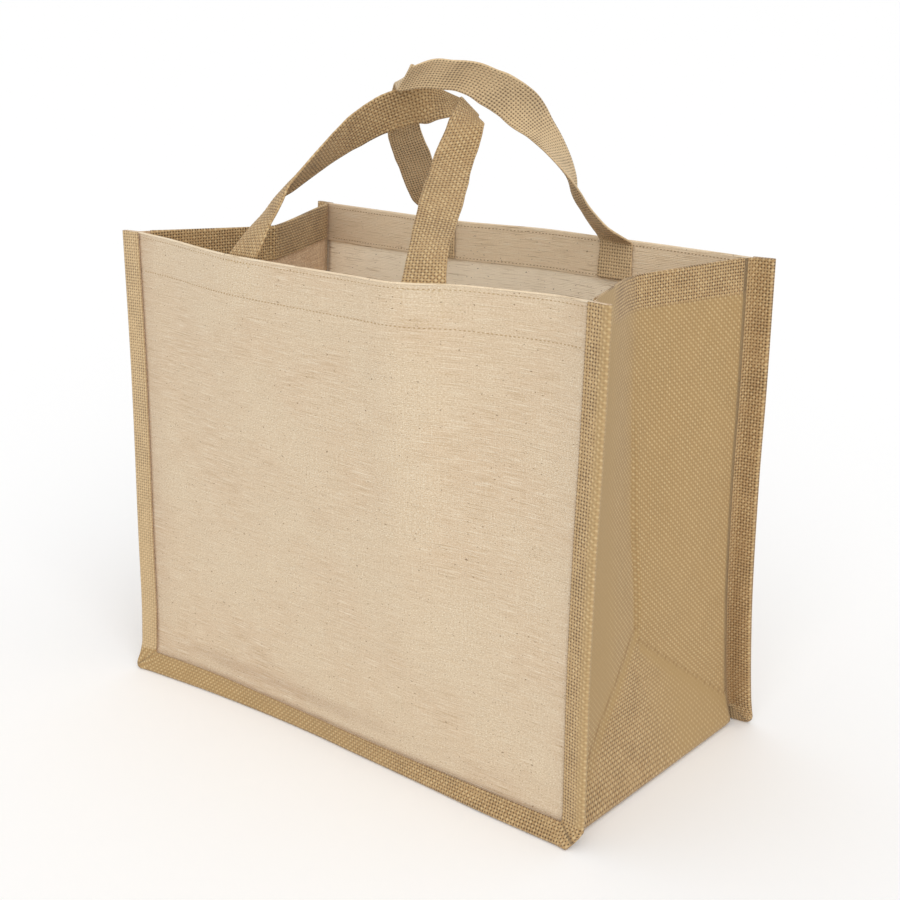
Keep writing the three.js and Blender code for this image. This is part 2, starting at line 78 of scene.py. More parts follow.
# Seam lines: y of the cloth at the left and right side seam, by height
SEAM_COLUMNS = ("z", "left", "right")
FRONT_SEAM = (
    (15, -102, -104),
    (50, -100, -104),
    (110, -99, -104),
    (190, -97, -102),
    (250, -96, -99),
    (340, -96, -96),
)
BACK_SEAM = (
    (15, 104, 104),
    (50, 99, 99),
    (110, 94, 94),
    (190, 93, 93),
    (250, 95, 95),
    (340, 100, 96),
)

# Top edges in plan, and how far the edge hangs below the panel's full height
RIM_COLUMNS = ("x", "y", "sag")
FRONT_RIM = (
    (-193, -96, 0),
    (-154, -101, 0.5),
    (-116, -109, 1),
    (-81, -114, 1.5),
    (-25, -116, 1.5),
    (31, -116.5, 1.5),
    (60, -117, 1.5),
    (80, -110, 1.5),
    (100, -100, 1),
    (132, -92, 1),
    (167, -89, 0.5),
    (193, -93, 0),
)
BACK_RIM = (
    (-193, 102, 0),
    (-128, 100.5, 0.5),
    (-56, 99.5, 1),
    (-20, 105, 1),
    (15, 110.5, 1),
    (65, 108, 1),
    (99, 107, 1),
    (151, 101, 0.5),
    (193, 95, 0),
)

# Bottom seam lines in plan, and how far the border's lower edge stands out from the seam
FOOT_COLUMNS = ("x", "y", "flare")
FRONT_FOOT = (
    (-193, -102, 9),
    (-137, -98, 8),
    (-80, -99, 4),
    (-27, -101, 1.5),
    (19, -103, 1.5),
    (77, -104, 3),
    (137, -104, 6.5),
    (193, -103.5, 8),
)
BACK_FOOT = (
    (-193, 104, 5),
    (-80, 101, 3),
    (40, 101, 3),
    (193, 104, 6),
)

# Soft troughs and ridges of a panel: middle, half length and half height, how far its long axis
# is turned up from level, and how far it stands out (in, if negative)
DENT_COLUMNS = ("x", "z", "half_x", "half_z", "turn_deg", "out")
FRONT_DENTS = (
    (-95, 34, 55, 12, -4, -1.6),
    (-30, 52, 80, 14, 5, 1.2),
    (95, 96, 70, 26, 22, 1.1),
    (150, 60, 40, 12, 38, -1),
    (20, 180, 110, 40, -12, 1.2),
    (-120, 215, 46, 60, 10, -1.2),
    (128, 240, 34, 60, -14, -1.3),
    (-60, 290, 60, 12, 6, -0.8),
)
BACK_DENTS = (
    (-80, 60, 70, 18, 8, 1.2),
    (90, 120, 70, 30, -16, -1.3),
    (-40, 210, 90, 40, 10, -1.2),
    (60, 280, 60, 16, -6, 1),
)

# Bottom corners of the border: how much of the square corner is cut, along the side and along
# the foot, and how far the cut bulges back towards the square corner
CORNER_COLUMNS = ("along_side", "along_foot", "bulge")
FRONT_CORNERS = {-1: (7, 7, 0.6), 1: (13, 9, 0.08)}
BACK_CORNERS = {-1: (8, 8, 0.55), 1: (8, 8, 0.55)}

# Shape of a gusset side between its two seams
HALF_DEPTH = 100  # about, from a seam to the fold in the middle
CREASE_RISE = 0.257
CREASE_START_Z = 23.3
APEX_Z = 107
SLOPE_LOW = 0.211
SLOPE_TOP = 0.396
CREASE_SOFTNESS = 2
CREASE_ROUND_LOW = 3
CREASE_ROUND_TOP = 16
CREASE_TOP_DROP = 4
CREASE_DROP_START_Z = 280
LOWER_SIDE_Z = 58
LOWEST_SIDE_Z = 16
SIDE_FOOT_RADIUS = 5
SIDE_FOOT_Z = FLOOR_CLOTH_Z + SIDE_FOOT_RADIUS
SIDE, CORNER, FOOT = 0, 1, 2  # the parts of the gusset strip

# Webbing of the handles
STRAP_WIDTH = 28
STRAP_THICKNESS = 2.2
STRAP_THREADS = 13  # across the strap
STRAP_GAP = 0.8
STRAP_FOLD_RADIUS = 0.8
STRAP_PRESSED = 0.4  # share of its thickness that a strap loses where it is folded
STRAP_PRESSED_REACH = 9
STRAP_WANDER = 0.4  # how far a woven edge strays, and over what length
STRAP_WANDER_LENGTH = 9
STRAP_EDGE = 1.6  # width of the rounded edge
STRAP_EDGE_SHARE = 0.35  # of its thickness that a strap keeps at its very edge
STRAP_SMOOTHING = 2.5
STRAP_LEFT_X = -72
STRAP_RIGHT_X = 82
STRAP_SEWN_Z = (311, 337)
STRAP_SEAT = CLOTH / 2 + HEM_STEP + STRAP_GAP + STRAP_THICKNESS / 2

# Handles: each row is one straight line across the strap, its middle and its half width
STRAP_COLUMNS = ("x", "y", "z", "half_x", "half_y", "half_z")
HALF_WIDTH_COLUMN = STRAP_COLUMNS.index("half_x")
FRONT_RISING = (
    (-60.7, -104, 357.8, 13.3, -2.4, 3.7),
    (-56.4, -99, 365.6, 12.5, -5.7, 2.5),
    (-53, -93, 374.1, 11.5, -7.7, 2.1),
    (-49.6, -86, 381.2, 8.9, -10.3, 3.3),
    (-47.2, -77, 388.3, 7.6, -11, 4.1),
    (-42.3, -58, 402.3, 5.6, -11.1, 6.4),
    (-37.4, -36, 415.8, 3.1, -9, 10.2),
    (-30.1, -16, 425.9, 1.6, -6.6, 12.2),
    (-16.8, -1, 432, 0.8, -5.5, 12.8),
    (-3.4, 7, 434.3, -6.9, 5.6, 10.8),
)
FRONT_FOLD = (26.3, 6.5, 432.8, -19, 8.9, 8.2)
FRONT_FALLING = (
    (34.6, -7.6, 423.2, -13.9, -1.6, -0.7),
    (38, -24, 402, -10.6, -9.3, -1.7),
    (46, -42, 387, -10.8, -8.9, -0.3),
    (56, -62, 372, -13, -4.9, 1.5),
    (70, -88, 354, -13.6, -3.2, -1),
)
BACK_RISING = (
    (78.2, 98, 342.4, 12.6, -5.9, 1.7),
    (72.8, 95.5, 347.5, 11.8, -7.4, 1.3),
    (68.5, 91.5, 354.5, 11, -8.5, 1.6),
    (66.5, 85, 362.9, 10.3, -9.4, 1.4),
    (67.9, 76, 372.4, 8.8, -10.6, 2.2),
    (69.4, 66, 384.7, 6.1, -12.6, 1),
    (64.1, 52, 404.6, 0.9, -14, -0.7),
    (59.1, 35, 422.4, -2.5, -12.5, -5.9),
    (53.7, 18, 436.9, -9.1, -3.9, -9.9),
    (45.4, 4, 446.2, -10.1, -1.6, -9.5),
    (35.5, -7, 452.5, -10.3, 1.7, -9.3),
    (24.2, -15, 453.8, -9.6, 3.1, -9.7),
    (11.7, -19, 454.2, -9.5, 3, -9.8),
)
BACK_FOLD = (-3.9, -24, 451.2, -10.4, 4.4, -8.9)
BACK_FALLING = (
    (-22, 0, 448.5, -12.7, 0.5, -4.5),
    (-34, 11, 432, -11, -4, -7.7),
    (-46, 23, 413, -12.5, -2, -6),
    (-53, 44, 387, -13.1, -3.7, -3.1),
    (-61, 66, 363, -13, -2.5, -4.7),
    (-66, 85, 350, -13.4, -2.7, -3.2),
)

# Where a handle's middle bows off its edges: how far along it, over what reach, and how deep
CURL_COLUMNS = ("along", "reach", "depth")
FRONT_CURLS = ((78, 22, 3),)
BACK_CURLS = ((78, 22, 4), (190, 60, 1.5))

# Sewing, in millimetres
BORDER_STITCH = 2.6  # from the seam line out to the border's row of stitches
BOX_INSET = 2.5  # from the edge of a strap in to the box of stitches that holds it
BORDER_ROW_TOP = 2  # from the top edge down to the end of that row
HEM_ROW_END = 4  # from the side seam in to the ends of a hem's rows
STITCH_GAP = 1.65  # from one stitch to the next, in lengths of a stitch
PANEL_SUNK = 0.2  # how far the stitches sink into a panel's outer face
HEM_SUNK = 0.15  # into the inner side of a hem
JUTE_SUNK = 0.1  # into the webbing and the border
OUTER_PINCH = 0.25  # how far the stitches pull in the outer layer of a hem, and the inner one
INNER_PINCH = 0.2
PINCH_REACH = 1.3

# Kinds of shader node that are used often
MATH = "ShaderNodeMath"
VECTOR_MATH = "ShaderNodeVectorMath"
MAP_RANGE = "ShaderNodeMapRange"
ATTRIBUTE = "ShaderNodeAttribute"


def linear(hex_colour):
    """The linear red, green, blue and alpha of an sRGB hex colour."""
    parts = [int(hex_colour[i : i + 2], 16) / 255 for i in (1, 3, 5)]
    curved = [p / 12.92 if p <= 0.04045 else ((p + 0.055) / 1.055) ** 2.4 for p in parts]
    return (*curved, 1.0)


def millimetres(length):
    """A length property, which Blender keeps in metres, in millimetres."""
    return length / MM


# Each size in metres, with its name and description
SIZES = (
    ("jute_pitch", 0.0021, "Jute thread spacing", "From one jute thread to the next in the gusset"),
    ("webbing_pitch", 0.00225, "Webbing thread spacing", "From one cross thread to the next"),
    ("panel_pitch", 0.0013, "Panel thread spacing", "From one thread of cream cloth to the next"),
    ("thread_relief", 0.0002, "Webbing relief", "How far threads stand up from the webbing's middle"),
    ("stitch_length", 0.0018, "Stitch length", "Length of one stitch"),
    ("thread_radius", 0.00028, "Sewing thread radius", "Half the thickness of the sewing thread"),
    ("panel_step", 0.003, "Cloth grid step", "Distance between two points of the cloth's grid"),
)

# Each colour, with its name and description
COLOURS = (
    ("panel", "#D3BEA1", "Cream cloth", "The cream jute and cotton cloth"),
    ("slub", "#C0A886", "Cream slub", "The darker slubs in the cream cloth"),
    ("jute", "#C2A476", "Jute", "The light jute threads"),
    # The darker threads' colour, also laid on as painted shade on the threads' sides
    ("jute_dark", "#A5845A", "Dark jute", "The darker jute threads"),
    # Painted highlight on the tops of the jute threads
    ("jute_light", "#D8BF92", "Lit jute", "The tops of the jute threads, where the fibres shine"),
    # Painted shade in the holes between the jute threads
    ("hole", "#3E2812", "Weave holes", "What shows between the jute threads"),
    ("laminate", "#A88A5A", "Laminated jute", "The gusset's body, where a film closes the weave"),
    ("stitch", "#8A6C48", "Sewing thread", "The thread of the back hem"),
    ("pale_stitch", "#CDB892", "Pale sewing thread", "The thread that holds the handles"),
    # Paler jute; on the back handle it is partly painted light that lifts the handle's shaded leg
    ("faded", "#E2C9A2", "Faded jute", "Jute bleached by the light, as on the back handle"),
    ("floor", "#FFFFFF", "Floor", "The floor"),
)

# Each number of the stage, with its name, its description and its unit or subtype
ANGLE = {"subtype": "ANGLE"}
STAGE = (
    ("lens_mm", 59.55, "Focal length", "On a sensor 36 mm wide", {"unit": "CAMERA"}),
    ("azimuth", math.radians(39.2506), "Azimuth", "Camera's turn to the right of the front", ANGLE),
    ("elevation", math.radians(17.2563), "Elevation", "Camera's angle above the horizon", ANGLE),
    ("roll", math.radians(0.1561), "Roll", "Camera's turn about its own axis", ANGLE),
    ("distance", 1.05357, "Distance", "From the camera to its target", {"unit": "LENGTH"}),
    ("key_strength", 1.25, "Key light", "Strength of the broad light from high at the front", {}),
    ("key_softness", math.radians(60), "Key softness", "How wide the key light looks", ANGLE),
    ("room_light", 0.78, "Room light", "Strength of the even light from all round", {}),
)


class BagSizes(bpy.types.PropertyGroup):
    """Sizes of the threads, the stitches and the mesh."""

    __annotations__ = {
        key: FloatProperty(name=name, description=text, default=size, unit="LENGTH")
        for key, size, name, text in SIZES
    }


class BagColours(bpy.types.PropertyGroup):
    """Colours of the cloths, the threads and the floor."""

    __annotations__ = {
        key: FloatVectorProperty(
            name=name, description=text, subtype="COLOR", size=4, default=linear(colour)
        )
        for key, colour, name, text in COLOURS
    }


class BagStage(bpy.types.PropertyGroup):
    """The camera and the lights."""

    __annotations__ = {
        key: FloatProperty(name=name, description=text, default=number, **settings)
        for key, number, name, text, settings in STAGE
    }
    __annotations__["target"] = FloatVectorProperty(
        name="Target",
        description="Point that the camera looks at",
        subtype="TRANSLATION",
        unit="LENGTH",
        default=(0.01575, 0.0, 0.1951),
    )


def hermite(t, start, start_slope, end, end_slope):
    """The cubic that leads from start to end as t goes from 0 to 1, by the slopes at its ends."""
    return (
        (2 * t**3 - 3 * t**2 + 1) * start
        + (t**3 - 2 * t**2 + t) * start_slope
        + (3 * t**2 - 2 * t**3) * end
        + (t**3 - t**2) * end_slope
    )


def curve(rows, columns, along, wanted):
    """Cubic curve through a table, each row's slope being that between its two neighbours."""
    table = np.array(rows, float)
    x = table[:, columns.index(along)]
    y = table[:, columns.index(wanted)]
    last = len(x) - 1
    before = np.maximum(np.arange(len(x)) - 1, 0)
    after = np.minimum(np.arange(len(x)) + 1, last)
    slope = (y[after] - y[before]) / (x[after] - x[before])

    def at(position):
        held = np.clip(position, x[0], x[last])
        i = np.clip(np.searchsorted(x, held) - 1, 0, last - 1)
        span = x[i + 1] - x[i]
        return hermite((held - x[i]) / span, y[i], span * slope[i], y[i + 1], span * slope[i + 1])

    return at


def unit(vectors):
    """The vectors, each made 1 long."""
    return vectors / np.maximum(np.linalg.norm(vectors, axis=-1, keepdims=True), 1e-9)


def bell(distance, reach):
    """A bell curve: e to the power of minus the square of the distance over the reach."""
    return np.exp(-((distance / reach) ** 2))


def dents(rows, x, z):
    """Sum of soft bumps, each a bell curve over a turned ellipse."""
    total = np.zeros(np.broadcast(x, z).shape)
    for row in rows:
        dent = dict(zip(DENT_COLUMNS, row))
        turn = math.radians(dent["turn_deg"])
        along = (x - dent["x"]) * math.cos(turn) + (z - dent["z"]) * math.sin(turn)
        across = (z - dent["z"]) * math.cos(turn) - (x - dent["x"]) * math.sin(turn)
        reach = (along / dent["half_x"]) ** 2 + (across / dent["half_z"]) ** 2
        total = total + dent["out"] * np.exp(-reach)
    return total


class PanelShape:
    """The middle surface of a panel: y by x and z. outward is -1 at the front and 1 at the back."""

    bulge_power = 1.5
    foot_power = 4
    flare_start_z = 22
    border_turn = 2
    calm_edge = 25  # the troughs and ridges fade out this near to a seam

    def __init__(self, seam, rim, foot, dent_rows, outward):
        self.left, self.right = (curve(seam, SEAM_COLUMNS, "z", side) for side in ("left", "right"))
        self.rim, self.sag = (curve(rim, RIM_COLUMNS, "x", wanted) for wanted in ("y", "sag"))
        self.foot, self.flare = (curve(foot, FOOT_COLUMNS, "x", wanted) for wanted in ("y", "flare"))
        self.dent_rows = dent_rows
        self.outward = outward

    def between_seams(self, x, z):
        """y on the level line from one side seam to the other."""
        share = (x + SEAM_X) / (2 * SEAM_X)
        return self.left(z) * (1 - share) + self.right(z) * share

    def point(self, x, z):
        """The line between the seams, pushed out to the rim by a power of the height and to the
        foot line by a power of the depth, with the border's flare and the troughs and ridges."""
        x, z = np.broadcast_arrays(np.asarray(x, float), np.asarray(z, float))
        inside = np.clip(x, -SEAM_X, SEAM_X)
        height = np.clip(z / PANEL_HEIGHT, 0, 1)
        to_rim = self.rim(inside) - self.between_seams(inside, np.full_like(x, PANEL_HEIGHT))
        to_foot = self.foot(inside) - self.between_seams(inside, np.full_like(x, FOOT_SEAM_Z))
        flare_share = np.clip((self.flare_start_z - z) / self.flare_start_z, 0, None)
        turn_share = np.clip((np.abs(x) - SEAM_X) / BORDER_WIDTH, 0, None)
        stands_out = self.flare(inside) * flare_share**2 + self.border_turn * turn_share
        calm_x = np.clip((SEAM_X - np.abs(inside)) / self.calm_edge, 0, 1)
        calm_z = np.clip((z - FOOT_SEAM_Z) / self.calm_edge, 0, 1)
        stands_out = stands_out + dents(self.dent_rows, inside, z) * calm_x * calm_z
        y = (
            self.between_seams(inside, z)
            + to_rim * height**self.bulge_power
            + to_foot * (1 - height) ** self.foot_power
            + self.outward * stands_out
        )
        return np.stack([x, y, z], axis=-1)

    def layer(self, x, z, offset):
        """The point moved square to the surface, outwards for an offset above 0."""
        step = 0.5
        along_x = self.point(x + step, z) - self.point(x - step, z)
        along_z = self.point(x, z + step) - self.point(x, z - step)
        normal = unit(np.cross(along_x, along_z))
        distance = -self.outward * np.asarray(offset, float)[..., None]
        return self.point(x, z) + normal * distance

    def top(self, x):
        """Height of the top edge."""
        return PANEL_HEIGHT - self.sag(np.clip(x, -SEAM_X, SEAM_X))


FRONT = PanelShape(FRONT_SEAM, FRONT_RIM, FRONT_FOOT, FRONT_DENTS, -1)
BACK = PanelShape(BACK_SEAM, BACK_RIM, BACK_FOOT, BACK_DENTS, 1)


def corner_line(corner):
    """The three points, in x from the middle and z, that cut off a bottom corner."""
    cut = dict(zip(CORNER_COLUMNS, corner))
    on_side = np.array([OUTER_X, cut["along_side"]], float)
    on_foot = np.array([OUTER_X - cut["along_foot"], 0.0])
    tip = np.array([OUTER_X, 0.0])
    middle = (on_side + on_foot) / 2
    return on_side, middle + (tip - middle) * cut["bulge"], on_foot


def steps_between(start, end, step):
    """Even positions from start to end, no further apart than step."""
    return np.linspace(start, end, max(int(math.ceil(abs(end - start) / step)), 1) + 1)


def grid_normals(grid):
    """Normals of a grid: along the columns crossed with along the rows."""
    return unit(np.cross(np.gradient(grid, axis=1), np.gradient(grid, axis=0)))


def shell_faces(rows, columns):
    """Quads of a closed shell over a grid: both sides and the four edges."""
    count = rows * columns
    index = np.arange(count).reshape(rows, columns)
    a, b = index[:-1, :-1].ravel(), index[:-1, 1:].ravel()
    c, d = index[1:, 1:].ravel(), index[1:, :-1].ravel()
    outside = np.stack([a, b, c, d], axis=1)
    inside = np.stack([d, c, b, a], axis=1) + count
    rim = np.concatenate([index[0, :-1], index[:-1, -1], index[-1, :0:-1], index[:0:-1, 0]])
    following = np.roll(rim, -1)
    edges = np.stack([following, rim, rim + count, following + count], axis=1)
    return np.concatenate([outside, inside, edges])


def shell(grid, depth, values):
    """A closed shell round a grid of middle points: points, quads and values for each point.

    Each point stands off the middle along the grid's normal by the depth, to both sides. The
    value "inner" is 0 on the outer side and 1 on the inner one.
    """
    shape = grid.shape[:2]
    out = grid_normals(grid) * np.broadcast_to(depth, shape)[..., None]
    points = np.concatenate([(grid + out).reshape(-1, 3), (grid - out).reshape(-1, 3)])
    points[:, 2] = np.maximum(points[:, 2], 0)
    spread = {
        name: np.tile(np.broadcast_to(value, shape).ravel(), 2) for name, value in values.items()
    }
    spread["inner"] = np.repeat([0.0, 1.0], shape[0] * shape[1])
    return points, shell_faces(*shape), spread


def join_shells(shells):
    """Several shells as one set of points, quads and values."""
    offsets = np.cumsum([0] + [len(points) for points, _, _ in shells[:-1]])
    points = np.concatenate([points for points, _, _ in shells])
    faces = np.concatenate([faces + offset for (_, faces, _), offset in zip(shells, offsets)])
    values = {
        name: np.concatenate([values[name] for _, _, values in shells]) for name in shells[0][2]
    }
    return points, faces, values


def make_piece(name, points, faces, values, material, node=None, slot=None):
    """A mesh object from arrays in millimetres, that rides on the body and stands for a node."""
    mesh = bpy.data.meshes.new(name)
    mesh.vertices.add(len(points))
    mesh.vertices.foreach_set("co", (points * MM).astype(np.float32).ravel())
    mesh.loops.add(faces.size)
    mesh.loops.foreach_set("vertex_index", faces.astype(np.int32).ravel())
    mesh.polygons.add(len(faces))
    first_loops = np.arange(0, faces.size, faces.shape[1], dtype=np.int32)
    mesh.polygons.foreach_set("loop_start", first_loops)
    mesh.polygons.foreach_set("use_smooth", np.ones(len(faces), bool))
    mesh.update(calc_edges=True)
    mesh.validate()
    for value_name, value in values.items():
        attribute = mesh.attributes.new(value_name, "FLOAT", "POINT")
        attribute.data.foreach_set("value", value.astype(np.float32))
    mesh.set_sharp_from_angle(angle=math.radians(60))
    mesh.materials.append(material)
    piece = bpy.data.objects.new(name, mesh)
    bpy.context.scene.collection.objects.link(piece)
    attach(piece, BODY)
    if node:
        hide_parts(node)
    return piece


def add(tree, kind, links=(), **settings):
    """Adds a node with its settings, and links or sets its inputs, given in order or by name."""
    node = tree.nodes.new(kind)
    for name, value in settings.items():
        setattr(node, name, value)
    for name, value in links.items() if isinstance(links, dict) else enumerate(links):
        if isinstance(value, bpy.types.NodeSocket):
            tree.links.new(value, node.inputs[name])
        else:
            node.inputs[name].default_value = value
    return node


def new_material(name):
    """A material with an empty node tree, and that tree."""
    material = bpy.data.materials.new(name)
    material.use_nodes = True
    material.node_tree.nodes.clear()
    return material, material.node_tree


def cloth_position(tree, across_pitch, along_pitch, wander):
    """The place on the cloth in mm, and the threads counted across and along it, with the
    threads wandering a little."""
    across, along = (
        add(tree, ATTRIBUTE, attribute_name=name).outputs["Fac"] for name in ("across", "along")
    )
    place = add(tree, "ShaderNodeCombineXYZ", (across, along)).outputs[0]
    drift = add(tree, "ShaderNodeTexNoise", {"Vector": place, "Scale": 0.09, "Detail": 2.0})
    about_middle = (drift.outputs["Color"], (0.5, 0.5, 0.5))
    centred = add(tree, VECTOR_MATH, about_middle, operation="SUBTRACT").outputs[0]
    moved = add(tree, VECTOR_MATH, (centred, (wander,) * 3, place), operation="MULTIPLY_ADD")
    counting = (moved.outputs[0], (1 / across_pitch, 1 / along_pitch, 1))
    return place, add(tree, VECTOR_MATH, counting, operation="MULTIPLY").outputs[0]


def plain_weave(tree, threads):
    """A plain weave from thread counts: a sine across times a sine along.

    Returns that product, which is above 0 where a thread across is on top and below 0 where a
    thread along is, the same less a share of the cosines' product, which draws its tops out into
    slanting rows, and a measure that is 0 in the hole between four crossings and rises to the
    square root of 2 on a crossing.
    """
    slant = 0.5
    turns = add(tree, VECTOR_MATH, (threads, (math.pi, math.pi, 0)), operation="MULTIPLY")
    sines, cosines = (
        add(tree, VECTOR_MATH, (turns.outputs[0],), operation=wave).outputs[0]
        for wave in ("SINE", "COSINE")
    )
    splits = [add(tree, "ShaderNodeSeparateXYZ", (waves,)).outputs for waves in (sines, cosines)]
    product, leaning = (
        add(tree, MATH, (split["X"], split["Y"]), operation="MULTIPLY").outputs[0]
        for split in splits
    )
    slanting = add(tree, MATH, (leaning, -slant, product), operation="MULTIPLY_ADD").outputs[0]
    from_hole = add(tree, VECTOR_MATH, (sines,), operation="LENGTH").outputs["Value"]
    return product, slanting, from_hole


def uneven(tree, place, across, along, detail=3.0):
    """Random light and dark that changes so many times in each mm across and along."""
    scaled = add(tree, VECTOR_MATH, (place, (across, along, 1)), operation="MULTIPLY").outputs[0]
    links = {"Vector": scaled, "Scale": 1.0, "Detail": detail, "Roughness": 0.62}
    return add(tree, "ShaderNodeTexNoise", links).outputs["Fac"]


def laid_over(tree, ground, colour, measure, low=0.0, high=1.0, most=1.0):
    """A colour laid over the ground as a measure goes from low to high, up to a share."""
    limits = (measure, low, high, 0.0, most)
    share = add(tree, MAP_RANGE, limits, interpolation_type="SMOOTHSTEP").outputs["Result"]
    colours = {"Factor": share, 6: ground, 7: colour}
    return add(tree, "ShaderNodeMix", colours, data_type="RGBA").outputs[2]


def thread_streaks(tree, threads, product):
    """Light and dark along each thread: noise drawn out along whichever thread is on top."""
    streaks = [uneven(tree, threads, *scale) for scale in ((1.1, 0.13), (0.13, 1.1))]
    on_top = add(tree, MATH, (product, 0.0), operation="GREATER_THAN").outputs[0]
    links = {"Factor": on_top, "A": streaks[1], "B": streaks[0]}
    return add(tree, "ShaderNodeMix", links, data_type="FLOAT").outputs["Result"]


def finish_cloth(tree, colour, height, relief, roughness, sheen):
    """The cloth's shader: matt, with a soft sheen from its fibres and a bump from its threads."""
    surface = {"Height": height, "Distance": relief * MM, "Strength": 0.9}
    bump = add(tree, "ShaderNodeBump", surface)
    finish = {
        "Base Color": colour,
        "Normal": bump.outputs["Normal"],
        "Roughness": roughness,
        "Sheen Weight": sheen,
        "Sheen Roughness": 0.6,
        "Specular IOR Level": 0.25,
    }
    shader = add(tree, "ShaderNodeBsdfPrincipled", finish)
    add(tree, "ShaderNodeOutputMaterial", {"Surface": shader.outputs[0]})


def juco_cloth(sizes, colours):
    """Jute and cotton cloth, plain woven from fine yarns: a cream matt ground, finely speckled,
    with thicker weft yarns that show as level lines in places, and small flecks of bark."""
    material, tree = new_material("juco_cloth")
    pitch = millimetres(sizes.panel_pitch)
    place, threads = cloth_position(tree, pitch, pitch * 0.9, 0.6)
    _, _, from_hole = plain_weave(tree, threads)
    speckle = uneven(tree, place, 0.8, 1.3)
    lines = uneven(tree, place, 0.045, 1.25, 2.0)
    uprights = uneven(tree, place, 1.1, 0.03, 2.0)
    bark = uneven(tree, place, 0.35, 0.6, 1.0)
    calm = uneven(tree, place, 0.011, 0.014, 2.0)
    shade, inner, turned = (
        add(tree, ATTRIBUTE, attribute_name=name).outputs["Fac"]
        for name in ("shade", "inner", "turned")
    )
    unseen = add(tree, MATH, (inner, turned), operation="MAXIMUM").outputs[0]
    coarse = add(tree, MAP_RANGE, (calm, 0.4, 0.62, 0.18, 0.6)).outputs["Result"]
    line_share = add(tree, MATH, (unseen, 0.25, coarse), operation="MULTIPLY_ADD").outputs[0]
    face = tuple(colours.panel)
    # Each layer: its colour, the measure that lays it on, from low to high, and its most share
    for colour, *limits in (
        (tuple(colours.slub), speckle, 0.5, 0.7),
        (linear("#E9DCC4"), speckle, 0.5, 0.3),  # pale cotton tops
        (linear("#CBAF90"), calm, 0.35, 0.68, 0.4),  # warm patches
        (linear("#F8E2C0"), turned, 0.4, 0.6, 0.55),  # lighter hem layer: painted light inside the shaded bag
        (linear("#FFF1D8"), inner, 0.4, 0.6, 0.95),  # the inner face: a lighter cloth, lifted further by painted light
        (linear("#E8DABF"), uprights, 0.52, 0.75, 0.25),  # upright yarns
        (linear("#EEE2CB"), lines, 0.52, 0.72, line_share),  # thick weft yarns
        (linear("#B49A76"), lines, 0.46, 0.3, line_share),  # gaps beside them
        (linear("#7A5E40"), bark, 0.68, 0.77, 0.75),
        (linear("#8A6242"), shade),  # painted shade, with the seams' own dark line
    ):
        face = laid_over(tree, face, colour, *limits)
    yarns = add(tree, MATH, (speckle, 1.2, from_hole), operation="MULTIPLY_ADD").outputs[0]
    height = add(tree, MATH, (lines, 1.5, yarns), operation="MULTIPLY_ADD").outputs[0]
    finish_cloth(tree, face, height, 0.22, 0.9, 0.1)
    return material


def jute_cloth(name, pitches, colours, laminated):
    """Jute hessian, plain woven from coarse yarns of uneven colour: small round holes, in painted
    shade, show between the threads where it is open. Where a film closes it, as on the gusset's
    body, the holes fill up and only the tops of the threads stand out, as slanting rows of painted
    highlights with painted shade on the threads' sides."""
    material, tree = new_material(name)
    place, threads = cloth_position(tree, *pitches, 0.7)
    product, slanting, from_hole = plain_weave(tree, threads)
    streaks = thread_streaks(tree, threads, product)
    patchy = uneven(tree, place, 0.045, 0.045)
    openness, shade, faded, inner = (
        add(tree, ATTRIBUTE, attribute_name=value).outputs["Fac"]
        for value in ("open", "shade", "faded", "inner")
    )
    # Each range: its measure, from its low and its high, to what it gives at those two
    even_flecks, streaked, hole_edge, hole_depth, relief, lining = (
        add(tree, MAP_RANGE, limits).outputs["Result"]
        for limits in (
            (openness, 0.02, 0.3, 0.06, 0.6),
            (streaks, 0.35, 0.65, 0.5, 1.2),
            (patchy, 0.38, 0.6, 0.85, 1.25),
            (openness, 0.15, 0.9, 0.03, 1.0),
            (openness, 0.0, 1.0, 0.1, 1.0),
            (openness, 0.75, 0.95, 1.0, 0.0),
        )
    )
    flecks = add(tree, MATH, (even_flecks, streaked), operation="MULTIPLY").outputs[0]
    light, dark = tuple(colours.jute_light), tuple(colours.jute_dark)
    yarn = laid_over(tree, dark, tuple(colours.jute), streaks, 0.34, 0.66)
    if laminated:
        yarn = laid_over(tree, tuple(colours.laminate), yarn, openness, 0.1, 1.0)
    # Painted highlights on the thread tops and painted shade on their sides, in slanting rows
    highlighted = laid_over(tree, yarn, light, slanting, 0.15, 1.1, flecks)
    low = laid_over(tree, highlighted, dark, slanting, 0.1, -0.9, flecks)
    # Paler jute laid on by its share; on the back handle it is partly painted light
    paled_and_lit = laid_over(tree, low, tuple(colours.faded), faded)
    # Painted shade in the holes between the threads
    face = laid_over(tree, paled_and_lit, tuple(colours.hole), from_hole, hole_edge, 0.3, hole_depth)
    if laminated:
        film = laid_over(tree, linear("#C9A988"), linear("#E8CFAE"), streaks, 0.38, 0.7)
        face = laid_over(tree, face, film, inner, 0.4, 0.6, lining)
    # Painted shade along the border flaps' edges, at the back right root and in the creases; the
    # mitres' dark is their seams
    shaded = laid_over(tree, face, linear("#6A4413"), shade)
    tilted = add(tree, MATH, (product, 0.35, from_hole), operation="MULTIPLY_ADD").outputs[0]
    fibre = add(tree, MATH, (streaks, 0.5, tilted), operation="MULTIPLY_ADD").outputs[0]
    height = add(tree, MATH, (fibre, relief), operation="MULTIPLY").outputs[0]
    finish_cloth(tree, shaded, height, 0.35, 0.85, 0.12)
    return material


def sewing_thread(name, colour):
    """Spun cotton sewing thread: matt, with the twist too fine to show."""
    material, tree = new_material(name)
    place = add(tree, "ShaderNodeTexCoord").outputs["Object"]
    patches = uneven(tree, place, 90.0, 90.0, 2.0)
    patched = laid_over(tree, tuple(colour), linear("#BBA078"), patches, 0.4, 0.7, 0.5)
    finish_cloth(tree, patched, patches, 0.1, 0.7, 0.1)
    return material


def corner_limit(corner, z):
    """How far out a panel may reach inside the border, by height."""
    line = np.array(corner_line(corner)[::-1])
    return np.interp(z, line[:, 1], line[:, 0]) - PANEL_EDGE_MARGIN


